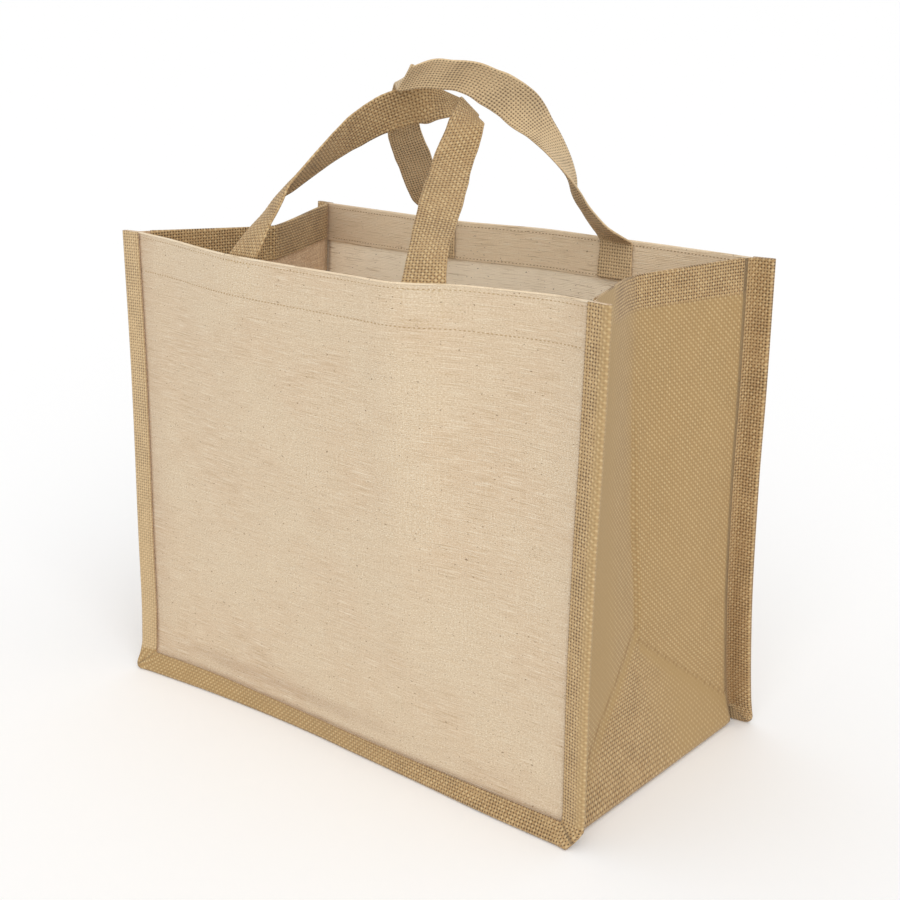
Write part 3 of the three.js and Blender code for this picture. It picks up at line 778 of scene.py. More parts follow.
def panel_shade(panel, x, z, outer):
    """Painted shade on a panel: a thin line along its seams, partly the seams' own dark, and a soft
    band beside them, at the front a hollow above the bottom seam and a darker left side, at the
    back darker ends of the inner hem."""
    from_seam = np.minimum(SEAM_X - np.abs(x), z - FOOT_SEAM_Z)
    line = 0.6 * bell(from_seam, 1.8)
    band = 0.13 * bell(np.maximum(from_seam, 0), 16)
    left_shade = bell(x + SEAM_X, 85)
    if panel.outward > 0:
        hem_end_shade = 0.36 * left_shade + 0.12 * bell(x - SEAM_X, 60)
        return np.where(outer, np.maximum(line, band), hem_end_shade)
    hollow_share = np.interp(x, (-175, -120, -10, 60, 150), (0.2, 1.0, 1.0, 0.5, 0.3))
    hollow = hollow_share * 0.32 * bell(z - FOOT_SEAM_Z - 13, 8)
    soft = np.maximum(band, hollow) + 0.12 * left_shade**2
    return np.where(outer, np.maximum(line, soft), 0)


def panel_grid(panel, corners, step):
    """The panel with its top edge turned in as a hem.

    Rows go up the outer layer, half round the fold at the top edge and down the inner layer. The
    two rows of stitches pinch the layers together.
    """
    fold_radius = HEM_STEP / 2
    edge_x = OUTER_X - PANEL_EDGE_MARGIN
    columns = steps_between(-edge_x, edge_x, step)[:: -panel.outward]
    fold_z = panel.top(columns) - fold_radius - CLOTH / 2
    up = steps_between(0, 1, step / PANEL_HEIGHT)[:, None]
    down = steps_between(0, 1, step / HEM_DEPTH)[1:, None]
    turn = np.linspace(0, math.pi, 7)[1:, None]
    outer_z = PANEL_EDGE_MARGIN + up * (fold_z - PANEL_EDGE_MARGIN)
    turn_z = fold_z + fold_radius * np.sin(turn)
    inner_z = fold_z - down * (fold_z - (PANEL_HEIGHT - HEM_DEPTH))
    turn_offset = -fold_radius * (1 - np.cos(turn)) + 0 * turn_z
    z = np.concatenate([outer_z, turn_z, inner_z])
    offset = np.concatenate([0 * outer_z, turn_offset, 0 * inner_z - HEM_STEP])
    x = np.broadcast_to(columns, z.shape)
    limit = np.where(x < 0, *(corner_limit(corners[hand], z) for hand in (-1, 1)))
    past = np.clip(np.abs(x) - SEAM_X, 0, None) / (edge_x - SEAM_X)
    x = np.where(past > 0, np.sign(x) * (SEAM_X + past * (limit - SEAM_X)), x)
    top = panel.top(x)
    pinch = sum(bell(top - z - depth, PINCH_REACH) for depth in (UPPER_STITCH, LOWER_STITCH))
    outer = offset == 0
    values = {
        "across": x,
        "along": np.where(outer, z, 2 * top - z),
        "shade": panel_shade(panel, x, z, outer),
        "turned": np.where(outer, 0.0, 1.0),
    }
    return panel.layer(x, z, offset + np.where(outer, -OUTER_PINCH, INNER_PINCH) * pinch), values


def strip_stations(step):
    """Stations along the gusset strip: down the left side, along the bottom, up the right side.

    Each is a row of part, hand (-1 left, 1 right), z of a side or x of the foot, and share of the
    turn round a corner.
    """

    def rows(*columns):
        return np.stack(np.broadcast_arrays(*columns), axis=1).astype(float)

    side_z = steps_between(PANEL_HEIGHT, LOWEST_SIDE_Z, step)
    foot_end = SEAM_X - ROOT_CORNER_RADIUS
    foot_step = 1.4 * step
    foot_x = steps_between(-foot_end, foot_end, foot_step)
    side = rows(SIDE, -1, side_z, 0)
    corner = rows(CORNER, -1, 0, np.linspace(0, 1, 13)[1:-1])
    foot = rows(FOOT, np.sign(foot_x), foot_x, 0)
    mirrored = (1, -1, 1, 1)
    return np.concatenate([side, corner, foot, corner[::-1] * mirrored, side[::-1] * mirrored])


def corner_outer(corner, turn):
    """The border's outer line round a corner: straight, a soft cut, and straight again."""
    straight = 0.25  # share of the turn before the cut, and after it
    on_side, middle, on_foot = corner_line(corner)
    control = 2 * middle - (on_side + on_foot) / 2
    start = np.array([OUTER_X, LOWEST_SIDE_Z], float)
    end = np.array([SEAM_X - ROOT_CORNER_RADIUS, 0.0])
    t = np.clip((turn - straight) / (1 - 2 * straight), 0, 1)[:, None]
    cut = (1 - t) ** 2 * on_side + 2 * t * (1 - t) * control + t**2 * on_foot
    first = np.clip(turn / straight, 0, 1)[:, None]
    last = np.clip((turn - (1 - straight)) / straight, 0, 1)[:, None]
    return cut + (start - on_side) * (1 - first) + (end - on_foot) * last


def border_ends(stations, corners):
    """The seam point and the outer point of the border at each station, in x and z."""
    part, hand, place, turn = stations.T
    angle = turn * math.pi / 2
    turned_x = SEAM_X - ROOT_CORNER_RADIUS + ROOT_CORNER_RADIUS * np.cos(angle)
    turned_z = FOOT_SEAM_Z + ROOT_CORNER_RADIUS - ROOT_CORNER_RADIUS * np.sin(angle)
    left, right = (corner_outer(corners[side], turn) * (side, 1) for side in (-1, 1))
    corner_end = np.where(hand[:, None] < 0, left, right)
    cases = [part == SIDE, part == FOOT]
    root_x = np.select(cases, [hand * SEAM_X, place], hand * turned_x)
    root_z = np.select(cases, [place, FOOT_SEAM_Z], turned_z)
    outer_x = np.select(cases, [hand * OUTER_X, place], corner_end[:, 0])
    outer_z = np.select(cases, [place, 0], corner_end[:, 1])
    return np.stack([root_x, root_z], axis=1), np.stack([outer_x, outer_z], axis=1)


def border_grid(panel, corners, stations):
    """The border at each station: flap, fold round the panel's edge, inner layer and the turn at
    the seam."""
    root, outer = border_ends(stations, corners)
    length = np.linalg.norm(outer - root, axis=1, keepdims=True)
    direction = (outer - root) / length
    reach = length - FOLD_OUTER_RADIUS

    def place(distance, offset):
        spot = root[:, None, :] + direction[:, None, :] * distance[..., None]
        return panel.layer(spot[..., 0], spot[..., 1], np.broadcast_to(offset, distance.shape))

    share = np.linspace(0, 1, 8)[None, :]
    flap = place(share * reach, LAYER_STEP)
    centre = place(reach, 0.0)
    along = unit(place(reach + 1, 0.0) - place(reach - 1, 0.0))
    across = unit(place(reach, 1.0) - centre)
    angle = np.linspace(math.pi / 2, -math.pi / 2, 9)[1:-1][None, :, None]
    fold = centre + LAYER_STEP * (along * np.cos(angle) + across * np.sin(angle))
    inner = place(reach + share * (ROOT_TURN_RADIUS - reach), -LAYER_STEP)
    turn = np.linspace(0, math.pi / 2, 4)[1:] + 0 * reach
    turn_offset = -LAYER_STEP - ROOT_TURN_RADIUS * (1 - np.cos(turn))
    root_turn = place(ROOT_TURN_RADIUS * (1 - np.sin(turn)), turn_offset)
    return np.concatenate([flap, fold, inner, root_turn], axis=1)


def above_apex(z):
    """Share of the way up from the triangle's apex to the top."""
    return np.clip((z - APEX_Z) / (PANEL_HEIGHT - APEX_Z), 0, 1)


def gusset_inset(z, distance):
    """How far a gusset side lies inside the seam plane: the lower of the paper-bag triangle and
    the flank that runs in from the seam, rounded where they meet."""
    triangle = CREASE_RISE * (z - CREASE_START_Z)
    flank = (SLOPE_LOW + (SLOPE_TOP - SLOPE_LOW) * above_apex(z)) * distance
    blend = np.clip(CREASE_SOFTNESS - np.abs(triangle - flank), 0, None) / CREASE_SOFTNESS
    return np.minimum(triangle, flank) - blend**2 * CREASE_SOFTNESS / 4


def soft_side(z, y, hand):
    """Gentle waves of a gusset side, up to 1 mm, that die out at the seams and at the foot: slow
    ones along both ways and quick ones along a slant."""
    calm = np.clip(z / 60, 0, 1) * np.clip((90 - np.abs(y)) / 30, 0, 1)
    slow = np.sin(z / 31 + 1.3 * hand) * np.cos(y / 27 + 0.6 * hand)
    quick = 0.45 * np.sin((z + 0.8 * y) / 13 + hand)
    return calm * 0.7 * (slow + quick)


def gusset_body(stations, front_y, back_y, step):
    """The gusset between its seams, and how far each point lies from the nearer seam.

    A side follows gusset_inset, a corner is a quarter circle and the bottom is flat. The upright
    fold in the middle of a side is crisp at the triangle and rounder towards the top.
    """
    part, hand, place, turn = (column[:, None] for column in stations.T)
    halves = max(int(HALF_DEPTH / step), 2)
    share = np.linspace(0, 1, halves + 1)[None, 1:]
    to_front, to_back = -front_y[:, None], back_y[:, None]
    front_distance = share * to_front
    back_distance = share[:, :-1][:, ::-1] * to_back
    y = np.concatenate([front_distance - to_front, to_back - back_distance], axis=1)
    distance = np.concatenate([front_distance, back_distance], axis=1)
    to_crease = np.where(np.arange(y.shape[1])[None, :] < halves, to_front, to_back)
    low_share = np.clip(LOWER_SIDE_Z - place, 0, None) / (LOWER_SIDE_Z - LOWEST_SIDE_Z)
    foot_drop = (LOWEST_SIDE_Z - SIDE_FOOT_Z) * low_share**2
    top_share = np.clip(place - CREASE_DROP_START_Z, 0, None) / (PANEL_HEIGHT - CREASE_DROP_START_Z)
    side_z = place - foot_drop - CREASE_TOP_DROP * top_share * distance / to_crease
    roundness = CREASE_ROUND_LOW + (CREASE_ROUND_TOP - CREASE_ROUND_LOW) * above_apex(place)
    short_of_crease = roundness / 2 * np.exp(-2 * (to_crease - distance) / roundness)
    inset = gusset_inset(side_z, distance - short_of_crease)
    side_x = hand * (SEAM_X - inset - soft_side(side_z, y, hand))
    foot_side_x = SEAM_X - gusset_inset(np.full_like(to_crease, SIDE_FOOT_Z), to_crease)
    corner_x = foot_side_x - SIDE_FOOT_RADIUS
    angle = turn * math.pi / 2
    turned_x = hand * (corner_x + SIDE_FOOT_RADIUS * np.cos(angle))
    turned_z = SIDE_FOOT_Z - SIDE_FOOT_RADIUS * np.sin(angle) + 0 * y
    foot_x = place * corner_x / (SEAM_X - ROOT_CORNER_RADIUS)
    cases = [part == SIDE, part == CORNER]
    x = np.select(cases, [side_x, turned_x], foot_x)
    z = np.select(cases, [side_z, turned_z], FLOOR_CLOTH_Z)
    return np.stack([x, y, z], axis=-1), distance


def side_openness(z, y, distance):
    """How open the gusset's weave looks between the seams, from 0, plain, to 1, holed.

    The top hem is open, the back half shows flecks of painted highlight and shade, the front half
    is nearly plain but for its lowest corner, and a plain band runs below the crease of the
    paper-bag triangle.
    """
    hem = np.clip((z - (PANEL_HEIGHT - HOLED_DEPTH)) / 2, 0, 1)
    back_half = np.clip((y + 48) / 22, 0, 1)
    low_front = bell(z, 60) * bell(y + 90, 55)
    below_crease = (SLOPE_LOW * distance - CREASE_RISE * (z - CREASE_START_Z)) / CREASE_RISE
    band = bell(below_crease - 6, 5) * (z < APEX_Z + 10)
    in_triangle = np.clip(below_crease / 3, 0, 1) * (z < APEX_Z)
    triangle = in_triangle * (0.2 + 0.5 * np.clip((35 - y) / 50, 0, 1))
    flecked = 0.03 + 0.27 * back_half
    body = (flecked * (1 - in_triangle) + triangle) * (1 - 0.85 * band)
    return np.maximum(hem * (0.1 + 0.9 * back_half), np.maximum(body, 0.8 * low_front))


def border_openness(x, y, z, from_edge):
    """How open the border's weave looks: closer low at the left and along the front of the foot,
    and on the front's right side plain towards the fold."""
    towards_right = np.clip((x + 20) / 120, 0, 1)
    up_the_left = (x < -SEAM_X) * np.clip((z - 70) / 110, 0, 1)
    towards_fold = np.clip((from_edge - 9) / 3, 0, 1) * (z > BORDER_WIDTH)
    front = 0.4 + 0.28 * up_the_left + towards_right * (0.42 - 0.5 * towards_fold)
    return np.where(y < 0, front, 0.85)


def crease_shade(z, y, distance):
    """Thin lines of painted shade along the folds of a gusset side: the triangle's two slanting ones
    and the upright one above it."""
    slanting = SLOPE_LOW * distance - CREASE_RISE * (z - CREASE_START_Z)
    line = 0.5 * bell(slanting, 0.4) * (z < APEX_Z) * (z > CREASE_START_Z)
    upright = 0.18 * bell(y, 1.6) * bell(z - APEX_Z, 70) * (z > APEX_Z - 6)
    return np.maximum(line, upright)


def border_shade(x, y, z, from_edge, turn, on_side):
    """Dark places of the border: painted shade along its edges, the dark seams of its mitres, and
    painted shade at the root of the right side at the back, which is darker lower down."""
    edges = 0.2 * bell(from_edge, 1.6)
    mitre = 0.35 * (np.abs(turn - 0.5) < 0.06)
    from_root = np.clip(np.abs(x) - SEAM_X, 0, None)
    root = (0.2 + 0.3 * np.clip((190 - z) / 150, 0, 1)) * bell(from_root, 14)
    back_right = on_side & (y > 0) & (x > 0)
    return np.maximum(np.maximum(edges, mitre), root * back_right)


def stations_length(stations):
    """Length of the strip up to each station, with each corner taken as a quarter circle."""
    part, hand, place, turn = stations.T
    quarter = math.pi / 2 * SIDE_FOOT_RADIUS
    half_foot = SEAM_X - ROOT_CORNER_RADIUS
    side = half_foot + quarter + place - LOWEST_SIDE_Z
    corner = half_foot + quarter * (1 - turn)
    return hand * np.select([part == SIDE, part == CORNER], [side, corner], np.abs(place))


def gusset_grid(step):
    """The whole gusset strip from one border to the other, with its cloth values and the number
    of columns in each border."""
    stations = strip_stations(step)
    front_border = border_grid(FRONT, FRONT_CORNERS, stations)
    back_border = border_grid(BACK, BACK_CORNERS, stations)
    body, distance = gusset_body(stations, front_border[:, -1, 1], back_border[:, -1, 1], step)
    grid = np.concatenate([front_border, body, back_border[:, ::-1]], axis=1)
    border_columns = front_border.shape[1]
    border = np.ones(grid.shape[:2], bool)
    border[:, border_columns:-border_columns] = False
    distance = np.pad(distance, ((0, 0), (border_columns, border_columns)))
    part, _, _, turn = (column[:, None] for column in stations.T)
    turn = np.select([part == CORNER, part == FOOT], [turn, 1.0], 0.0)
    on_side = part == SIDE
    run = np.cumsum(np.linalg.norm(np.diff(grid, axis=1, prepend=grid[:, :1]), axis=2), axis=1)
    from_edge = np.minimum(run, run[:, -1:] - run)
    x, y, z = grid[..., 0], grid[..., 1], grid[..., 2]
    border_along = np.where(turn > 0.5, x, z)
    border_dark = border_shade(x, y, z, from_edge, turn, on_side)
    side_dark = np.where(on_side, crease_shade(z, y, distance), 0.0)
    border_open = border_openness(x, y, z, from_edge)
    values = {
        "across": np.where(border, from_edge, run[len(stations) // 2]),
        "along": np.where(border, border_along, stations_length(stations)[:, None]),
        "open": np.where(border, border_open, side_openness(z, y, distance)),
        "shade": np.where(border, border_dark, side_dark),
        "faded": (border & (y < 0) & on_side) * np.where(x < 0, 0.4, 0.2),
    }
    return grid, values, border_columns


def gusset_hem(grid, values, rows, columns):
    """The gusset's turned-in top end: half round a fold, then down the inner side.

    rows are the strip's rows from the top edge downwards, and columns those between its borders.
    """
    surface = grid[rows, columns]
    normals = grid_normals(grid)[rows, columns]
    fold_radius = HEM_STEP / 2
    turn = np.linspace(0, math.pi, 7)[:, None, None]
    rise = unit(surface[0] - surface[1]) * (fold_radius * np.sin(turn) - fold_radius)
    fold = surface[0] + rise - normals[0] * fold_radius * (1 - np.cos(turn))
    hem = np.concatenate([fold, surface[1:] - normals[1:] * HEM_STEP])
    across = values["across"][rows, columns][0]
    return hem, {"across": across, "along": hem[..., 2], "open": 1.0, "shade": 0.0, "faded": 0.1}


def centripetal(points, per_span=12):
    """A centripetal Catmull-Rom curve through points of shape (count, edges, 3).

    Each span is the cubic whose end slopes come from its neighbours, weighed by the square
    roots of the distances between them.
    """
    first = 2 * points[:1] - points[1:2]
    last = 2 * points[-1:] - points[-2:-1]
    held = np.concatenate([first, points, last])
    p0, p1, p2, p3 = (held[i : len(held) - 3 + i] for i in range(4))
    d0, d1, d2 = (
        np.sqrt(np.maximum(np.linalg.norm(b - a, axis=-1, keepdims=True), 1e-6))
        for a, b in ((p0, p1), (p1, p2), (p2, p3))
    )
    slope_1 = ((p1 - p0) / d0 - (p2 - p0) / (d0 + d1) + (p2 - p1) / d1) * d1
    slope_2 = ((p2 - p1) / d1 - (p3 - p1) / (d1 + d2) + (p3 - p2) / d2) * d1
    t = (np.arange(per_span) / per_span)[None, :, None, None]
    spans = hermite(t, p1[:, None], slope_1[:, None], p2[:, None], slope_2[:, None])
    return np.concatenate([spans.reshape(-1, *points.shape[1:]), points[-1:]])


def strap_lines(rows):
    """The two ends of each straight line across a strap, as an array (rows, 2, 3)."""
    middle, half = np.split(np.array(rows, float), [HALF_WIDTH_COLUMN], axis=1)
    half = unit(half) * STRAP_WIDTH / 2
    return np.stack([middle - half, middle + half], axis=1)


def sewn_lines(panel, x, hand):
    """The sewn end of a strap, flat on the inner side of a panel's hem."""
    z = np.array(STRAP_SEWN_Z, float)
    left = panel.layer(x - STRAP_WIDTH / 2, z, 0 * z)
    right = panel.layer(x + STRAP_WIDTH / 2, z, 0 * z)
    upward = panel.layer(x, z + 1, 0 * z) - panel.layer(x, z - 1, 0 * z)
    across = unit(right - left)
    inward = unit(np.cross(across, upward)) * panel.outward
    middle = (left + right) / 2 + inward * STRAP_SEAT
    half = across * hand * STRAP_WIDTH / 2
    return np.stack([middle - half, middle + half], axis=1)


def fold_lines(fold, before, after):
    """The strap goes half round the diagonal line and comes back on its other side."""
    middle, half = np.split(np.array(fold, float), [HALF_WIDTH_COLUMN])
    axis = unit(half)
    arriving = unit(middle - before)
    leaving = unit(after - middle)
    tip = unit(arriving - axis * arriving.dot(axis))
    across = unit(np.cross(leaving, arriving))
    angle = np.linspace(-math.pi / 2, math.pi / 2, 9)[:, None]
    centre = middle + STRAP_FOLD_RADIUS * (across * np.sin(angle) + tip * np.cos(angle))
    return np.stack([centre - half, centre + half], axis=1)


def resample(lines, step):
    """The lines spaced evenly along the strap's middle, smoothed by a raised cosine."""
    lengths = np.linalg.norm(np.diff(lines.mean(axis=1), axis=0), axis=1)
    position = np.concatenate([[0], np.cumsum(lengths)])
    wanted = steps_between(0, position[-1], step)
    flat = lines.reshape(len(lines), -1)
    even = np.stack([np.interp(wanted, position, column) for column in flat.T], axis=1)
    reach = max(int(STRAP_SMOOTHING / step), 1)
    weights = np.hanning(2 * reach + 3)[1:-1]
    weights = weights / weights.sum()
    before = 2 * even[:1] - even[reach:0:-1]
    after = 2 * even[-1:] - even[-2 : -reach - 2 : -1]
    padded = np.concatenate([before, even, after])
    smooth = np.stack([np.convolve(column, weights, mode="valid") for column in padded.T], axis=1)
    return smooth.reshape(-1, 2, 3), wanted


def curl(rows, along):
    """How far the middle of a strap bows off the straight line between its edges, along it."""
    total = np.zeros_like(along)
    for row in rows:
        bow = dict(zip(CURL_COLUMNS, row))
        total = total + bow["depth"] * bell(along - bow["along"], bow["reach"])
    return total


def wander_noise(position, wavelength, seed):
    """A smooth random value between -1 and 1 along a line, from a seeded table of knots."""
    source = np.random.default_rng(seed)
    knots = source.uniform(-1, 1, int(position.max() / wavelength) + 4)
    scaled = position / wavelength
    index = scaled.astype(int)
    t = scaled - index
    t = t * t * (3 - 2 * t)
    return knots[index] * (1 - t) + knots[index + 1] * t


def strap_grid(panel, rising, fold, falling, curls, ends, faded, pitches, relief):
    """A strap as a grid: rows along it and columns across it, with its depth and cloth values.

    Each thread is a sine arch raised at its crossings, with four points from one thread to the
    next, and the cross-section bows by a parabola where the strap curls.
    """
    start = sewn_lines(panel, ends[0], 1)
    finish = sewn_lines(panel, ends[1], -1)[::-1]
    turn = fold_lines(fold, np.array(rising[-1][:3], float), np.array(falling[0][:3], float))
    up = centripetal(np.concatenate([start[-1:], strap_lines(rising), turn[:1]]))
    down = centripetal(np.concatenate([turn[-1:], strap_lines(falling), finish[:1]]))
    lines = np.concatenate([start[:-1], up, turn[1:-1], down, finish[1:]])
    pitch, pitch_along = pitches
    points_a_thread = 4
    even, along = resample(lines, pitch_along / points_a_thread)
    half_width = STRAP_WIDTH / 2 - STRAP_WANDER * wander_noise(along, STRAP_WANDER_LENGTH, seed=3)
    middle = even.mean(axis=1)
    half = unit(even[:, 1] - even[:, 0])
    share = np.linspace(-1, 1, STRAP_THREADS * points_a_thread + 1)[None, :]
    across = share * half_width[:, None]
    grid = middle[:, None, :] + half[:, None, :] * across[..., None]
    bow = curl(curls, along)[:, None] * (1 - share**2)
    grid = grid + grid_normals(grid) * bow[..., None]
    waves_across = np.sin(math.pi * share * STRAP_WIDTH / 2 / pitch)
    waves_along = np.sin(math.pi * along[:, None] / pitch_along)
    edge = np.clip((1 - np.abs(share)) * STRAP_WIDTH / 2 / STRAP_EDGE, 0, 1)
    round_edge = np.sqrt(1 - (1 - edge) ** 2)
    kept = STRAP_EDGE_SHARE + (1 - STRAP_EDGE_SHARE) * round_edge
    core = (STRAP_THICKNESS / 2 - relief) * kept
    depth = core + relief * np.abs(waves_across * waves_along) * edge
    fold_middle = turn[len(turn) // 2].mean(axis=0)
    folded_at = along[np.argmin(np.linalg.norm(middle - fold_middle, axis=1))]
    pressed = STRAP_PRESSED * bell(along - folded_at, STRAP_PRESSED_REACH)
    from_end = np.minimum(along, along[-1] - along)
    # Share of pale jute along the strap, least near the sewn ends; on the back handle it is partly
    # painted light that lifts the shaded leg
    pale_and_lit_share = np.interp(from_end, (34, 60, 130), (0.9, 1.5, 1))[:, None] * faded
    values = {"across": across, "along": along[:, None], "open": 0.75, "shade": 0.0, "faded": pale_and_lit_share}
    return grid, depth * (1 - pressed[:, None]), values


def stitches(centres, directions, normals, length, radius):
    """Short rounded bars, one for each centre: five rings of six points along each stitch."""
    ring_share = np.array([-1, -0.75, 0, 0.75, 1.0])
    ring_size = np.array([0.25, 0.85, 1.0, 0.85, 0.25])
    ends_sunk = 0.9  # of the thread's radius
    corners = 6
    points_each = corners * len(ring_share)
    around = np.arange(corners)
    angle = around * 2 * math.pi / corners
    directions, normals = unit(directions), unit(normals)
    sides = np.cross(directions, normals)
    along = directions[:, None, None] * ring_share[None, :, None, None] * length / 2
    out = normals[:, None, None] * np.cos(angle)[None, None, :, None]
    side = sides[:, None, None] * np.sin(angle)[None, None, :, None]
    sink = -normals[:, None, None] * radius * ends_sunk * (ring_share**2)[None, :, None, None]
    rings = centres[:, None, None] + along + sink
    rings = rings + (out + side) * radius * ring_size[None, :, None, None]
    ring = np.arange(0, points_each - corners, corners)[:, None]
    following = ring + (around + 1) % corners
    quads = [ring + around, following, following + corners, ring + corners + around]
    first_cap = np.array([[3, 2, 1, 0], [5, 4, 3, 0]])
    last_cap = np.array([[0, 1, 2, 3], [0, 3, 4, 5]]) + points_each - corners
    one = np.concatenate([np.stack(quads, axis=-1).reshape(-1, 4), first_cap, last_cap])
    faces = one[None] + (np.arange(len(centres)) * points_each)[:, None, None]
    return rings.reshape(-1, 3), faces.reshape(-1, 4), {}


def stitch_row(panel, side, clearance, start, end, thread, below_top=None):
    """Stitches on a panel's outer (1) or inner (-1) side, from one point to another in x and z,
    or at a depth below the top edge."""
    length, radius = thread

    def place(spots):
        x, z = spots.T
        if below_top:
            z = panel.top(x) - below_top
        surface = panel.layer(x, z, 0 * x + side * clearance)
        beyond = panel.layer(x, z, 0 * x + side * (clearance + 1))
        return surface, unit(beyond - surface)

    raised = 0.4  # of the thread's radius
    start, end = np.array(start, float), np.array(end, float)
    count = max(int(np.abs(end - start).max() / (length * STITCH_GAP)), 1)
    centre = start + (np.arange(count) + 0.5)[:, None] * (end - start) / count
    nudge = 0.5 * np.sign(end - start)
    here, normals = place(centre)
    before, _ = place(centre - nudge)
    after, _ = place(centre + nudge)
    return stitches(here + normals * radius * raised, after - before, normals, length, radius)


def hem_rows(panel, thread):
    """The two rows of stitches on each side of a panel's hem."""
    end = SEAM_X - HEM_ROW_END
    inner_clearance = HEM_STEP + CLOTH / 2 - HEM_SUNK
    return [
        stitch_row(panel, side, clearance, (-end, 0), (end, 0), thread, depth)
        for depth in (UPPER_STITCH, LOWER_STITCH)
        for side, clearance in ((1, CLOTH / 2 - PANEL_SUNK), (-1, inner_clearance))
    ]


def handle_boxes(panel, thread):
    """A box of stitches round each sewn handle end, on the strap and, fainter, on the panel."""
    low, high = STRAP_SEWN_Z[0] + BOX_INSET, STRAP_SEWN_Z[1] - BOX_INSET
    reach = STRAP_WIDTH / 2 - BOX_INSET
    strap_clearance = STRAP_SEAT + STRAP_THICKNESS / 2 - JUTE_SUNK
    rows = []
    for middle in (STRAP_LEFT_X, STRAP_RIGHT_X):
        left, right = middle - reach, middle + reach
        for side, clearance in ((1, CLOTH / 2 - PANEL_SUNK), (-1, strap_clearance)):
            for start, end in (
                ((left, low), (right, low)),
                ((left, high), (right, high)),
                ((left, low), (left, high)),
                ((right, low), (right, high)),
            ):
                rows.append(stitch_row(panel, side, clearance, start, end, thread))
    return rows


def border_rows(panel, thread):
    """The row of stitches that holds the border, just outside the seam on three sides."""
    side_x, foot_end = SEAM_X + BORDER_STITCH, SEAM_X - BORDER_STITCH
    foot_z, low = FOOT_SEAM_Z - BORDER_STITCH, FOOT_SEAM_Z + BORDER_STITCH
    high = PANEL_HEIGHT - BORDER_ROW_TOP
    clearance = LAYER_STEP + CLOTH / 2 - JUTE_SUNK
    return [
        stitch_row(panel, 1, clearance, start, end, thread)
        for start, end in (
            ((-side_x, low), (-side_x, high)),
            ((side_x, low), (side_x, high)),
            ((-foot_end, foot_z), (foot_end, foot_z)),
        )
    ]


class BAG_OT_panels(bpy.types.Operator):
    """Make the two cream panels with their hems"""

    bl_idname = "jute_bag.panels"
    bl_label = "Panels"

    def execute(self, context):
        sizes = context.scene.bag_sizes
        material = juco_cloth(sizes, context.scene.bag_colours)
        for node, panel, corners in (
            ("front_panel", FRONT, FRONT_CORNERS),
            ("back_panel", BACK, BACK_CORNERS),
        ):
            grid, values = panel_grid(panel, corners, millimetres(sizes.panel_step))
            cloth = shell(grid, CLOTH / 2, values)
            piece = make_piece(f"{node}_cloth", *cloth, material, node, "panel_cloth")
        return {"FINISHED"}


class BAG_OT_gusset(bpy.types.Operator):
    """Make the jute gusset with its border and hems"""

    bl_idname = "jute_bag.gusset"
    bl_label = "Gusset"

    def execute(self, context):
        sizes, colours = context.scene.bag_sizes, context.scene.bag_colours
        pitch = millimetres(sizes.jute_pitch)
        material = jute_cloth("laminated_jute", (pitch, pitch), colours, True)
        grid, values, border_columns = gusset_grid(millimetres(sizes.panel_step))
        body = slice(border_columns, grid.shape[1] - border_columns)
        left_rows = np.flatnonzero(grid[: len(grid) // 2, 0, 2] > PANEL_HEIGHT - HEM_DEPTH)
        left_hem, left_values = gusset_hem(grid, values, left_rows, body)
        right_hem, right_values = gusset_hem(grid, values, len(grid) - 1 - left_rows, body)
        right_values["along"] = right_values["along"][::-1]
        shells = (
            shell(grid, CLOTH / 2, values),
            shell(left_hem, CLOTH / 2, left_values),
            shell(right_hem[::-1], CLOTH / 2, right_values),
        )
        cloth = join_shells(shells)
        piece = make_piece("gusset_cloth", *cloth, material, "gusset", "jute_cloth")
        return {"FINISHED"}


class BAG_OT_handles(bpy.types.Operator):
    """Make the two webbing handles"""

    bl_idname = "jute_bag.handles"
    bl_label = "Handles"

    def execute(self, context):
        sizes = context.scene.bag_sizes
        pitches = (STRAP_WIDTH / STRAP_THREADS, millimetres(sizes.webbing_pitch))
        relief = millimetres(sizes.thread_relief)
        material = jute_cloth("jute_webbing", pitches, context.scene.bag_colours, False)
        ends = (STRAP_LEFT_X, STRAP_RIGHT_X)
        front = (FRONT, FRONT_RISING, FRONT_FOLD, FRONT_FALLING, FRONT_CURLS, ends)
        back = (BACK, BACK_RISING, BACK_FOLD, BACK_FALLING, BACK_CURLS, ends[::-1])
        for node, parts, faded in (("front_handle", front, 0.1), ("back_handle", back, 0.55)):
            grid, depth, values = strap_grid(*parts, faded, pitches, relief)
            cloth = shell(grid, depth, values)
            piece = make_piece(f"{node}_webbing", *cloth, material, node, "webbing")
        return {"FINISHED"}


class BAG_OT_sewing(bpy.types.Operator):
    """Make the rows of stitches on the hems, the handle ends and the borders"""

    bl_idname = "jute_bag.sewing"
    bl_label = "Sewing"

    def execute(self, context):
        sizes, colours = context.scene.bag_sizes, context.scene.bag_colours
        dark = sewing_thread("jute_thread", colours.stitch)
        middling = sewing_thread("tan_thread", linear("#A88B62"))
        pale = sewing_thread("cream_thread", colours.pale_stitch)
        thread = (millimetres(sizes.stitch_length), millimetres(sizes.thread_radius))
        for side, panel, hem_thread in (("front", FRONT, middling), ("back", BACK, dark)):
            for place, rows_of, material in (
                ("hem", hem_rows, hem_thread),
                ("handle", handle_boxes, pale),
                ("border", border_rows, middling),
            ):
                make_piece(f"{side}_{place}_stitches", *join_shells(rows_of(panel, thread)), material)
        return {"FINISHED"}


def facing(right, up, back, place=(0.0, 0.0, 0.0)):
    """The matrix of a camera or lamp, by its own right, up and back directions and its place."""
    matrix = np.eye(4)
    matrix[:3] = np.stack([right, up, back, place], axis=1)
    return Matrix(matrix.tolist())


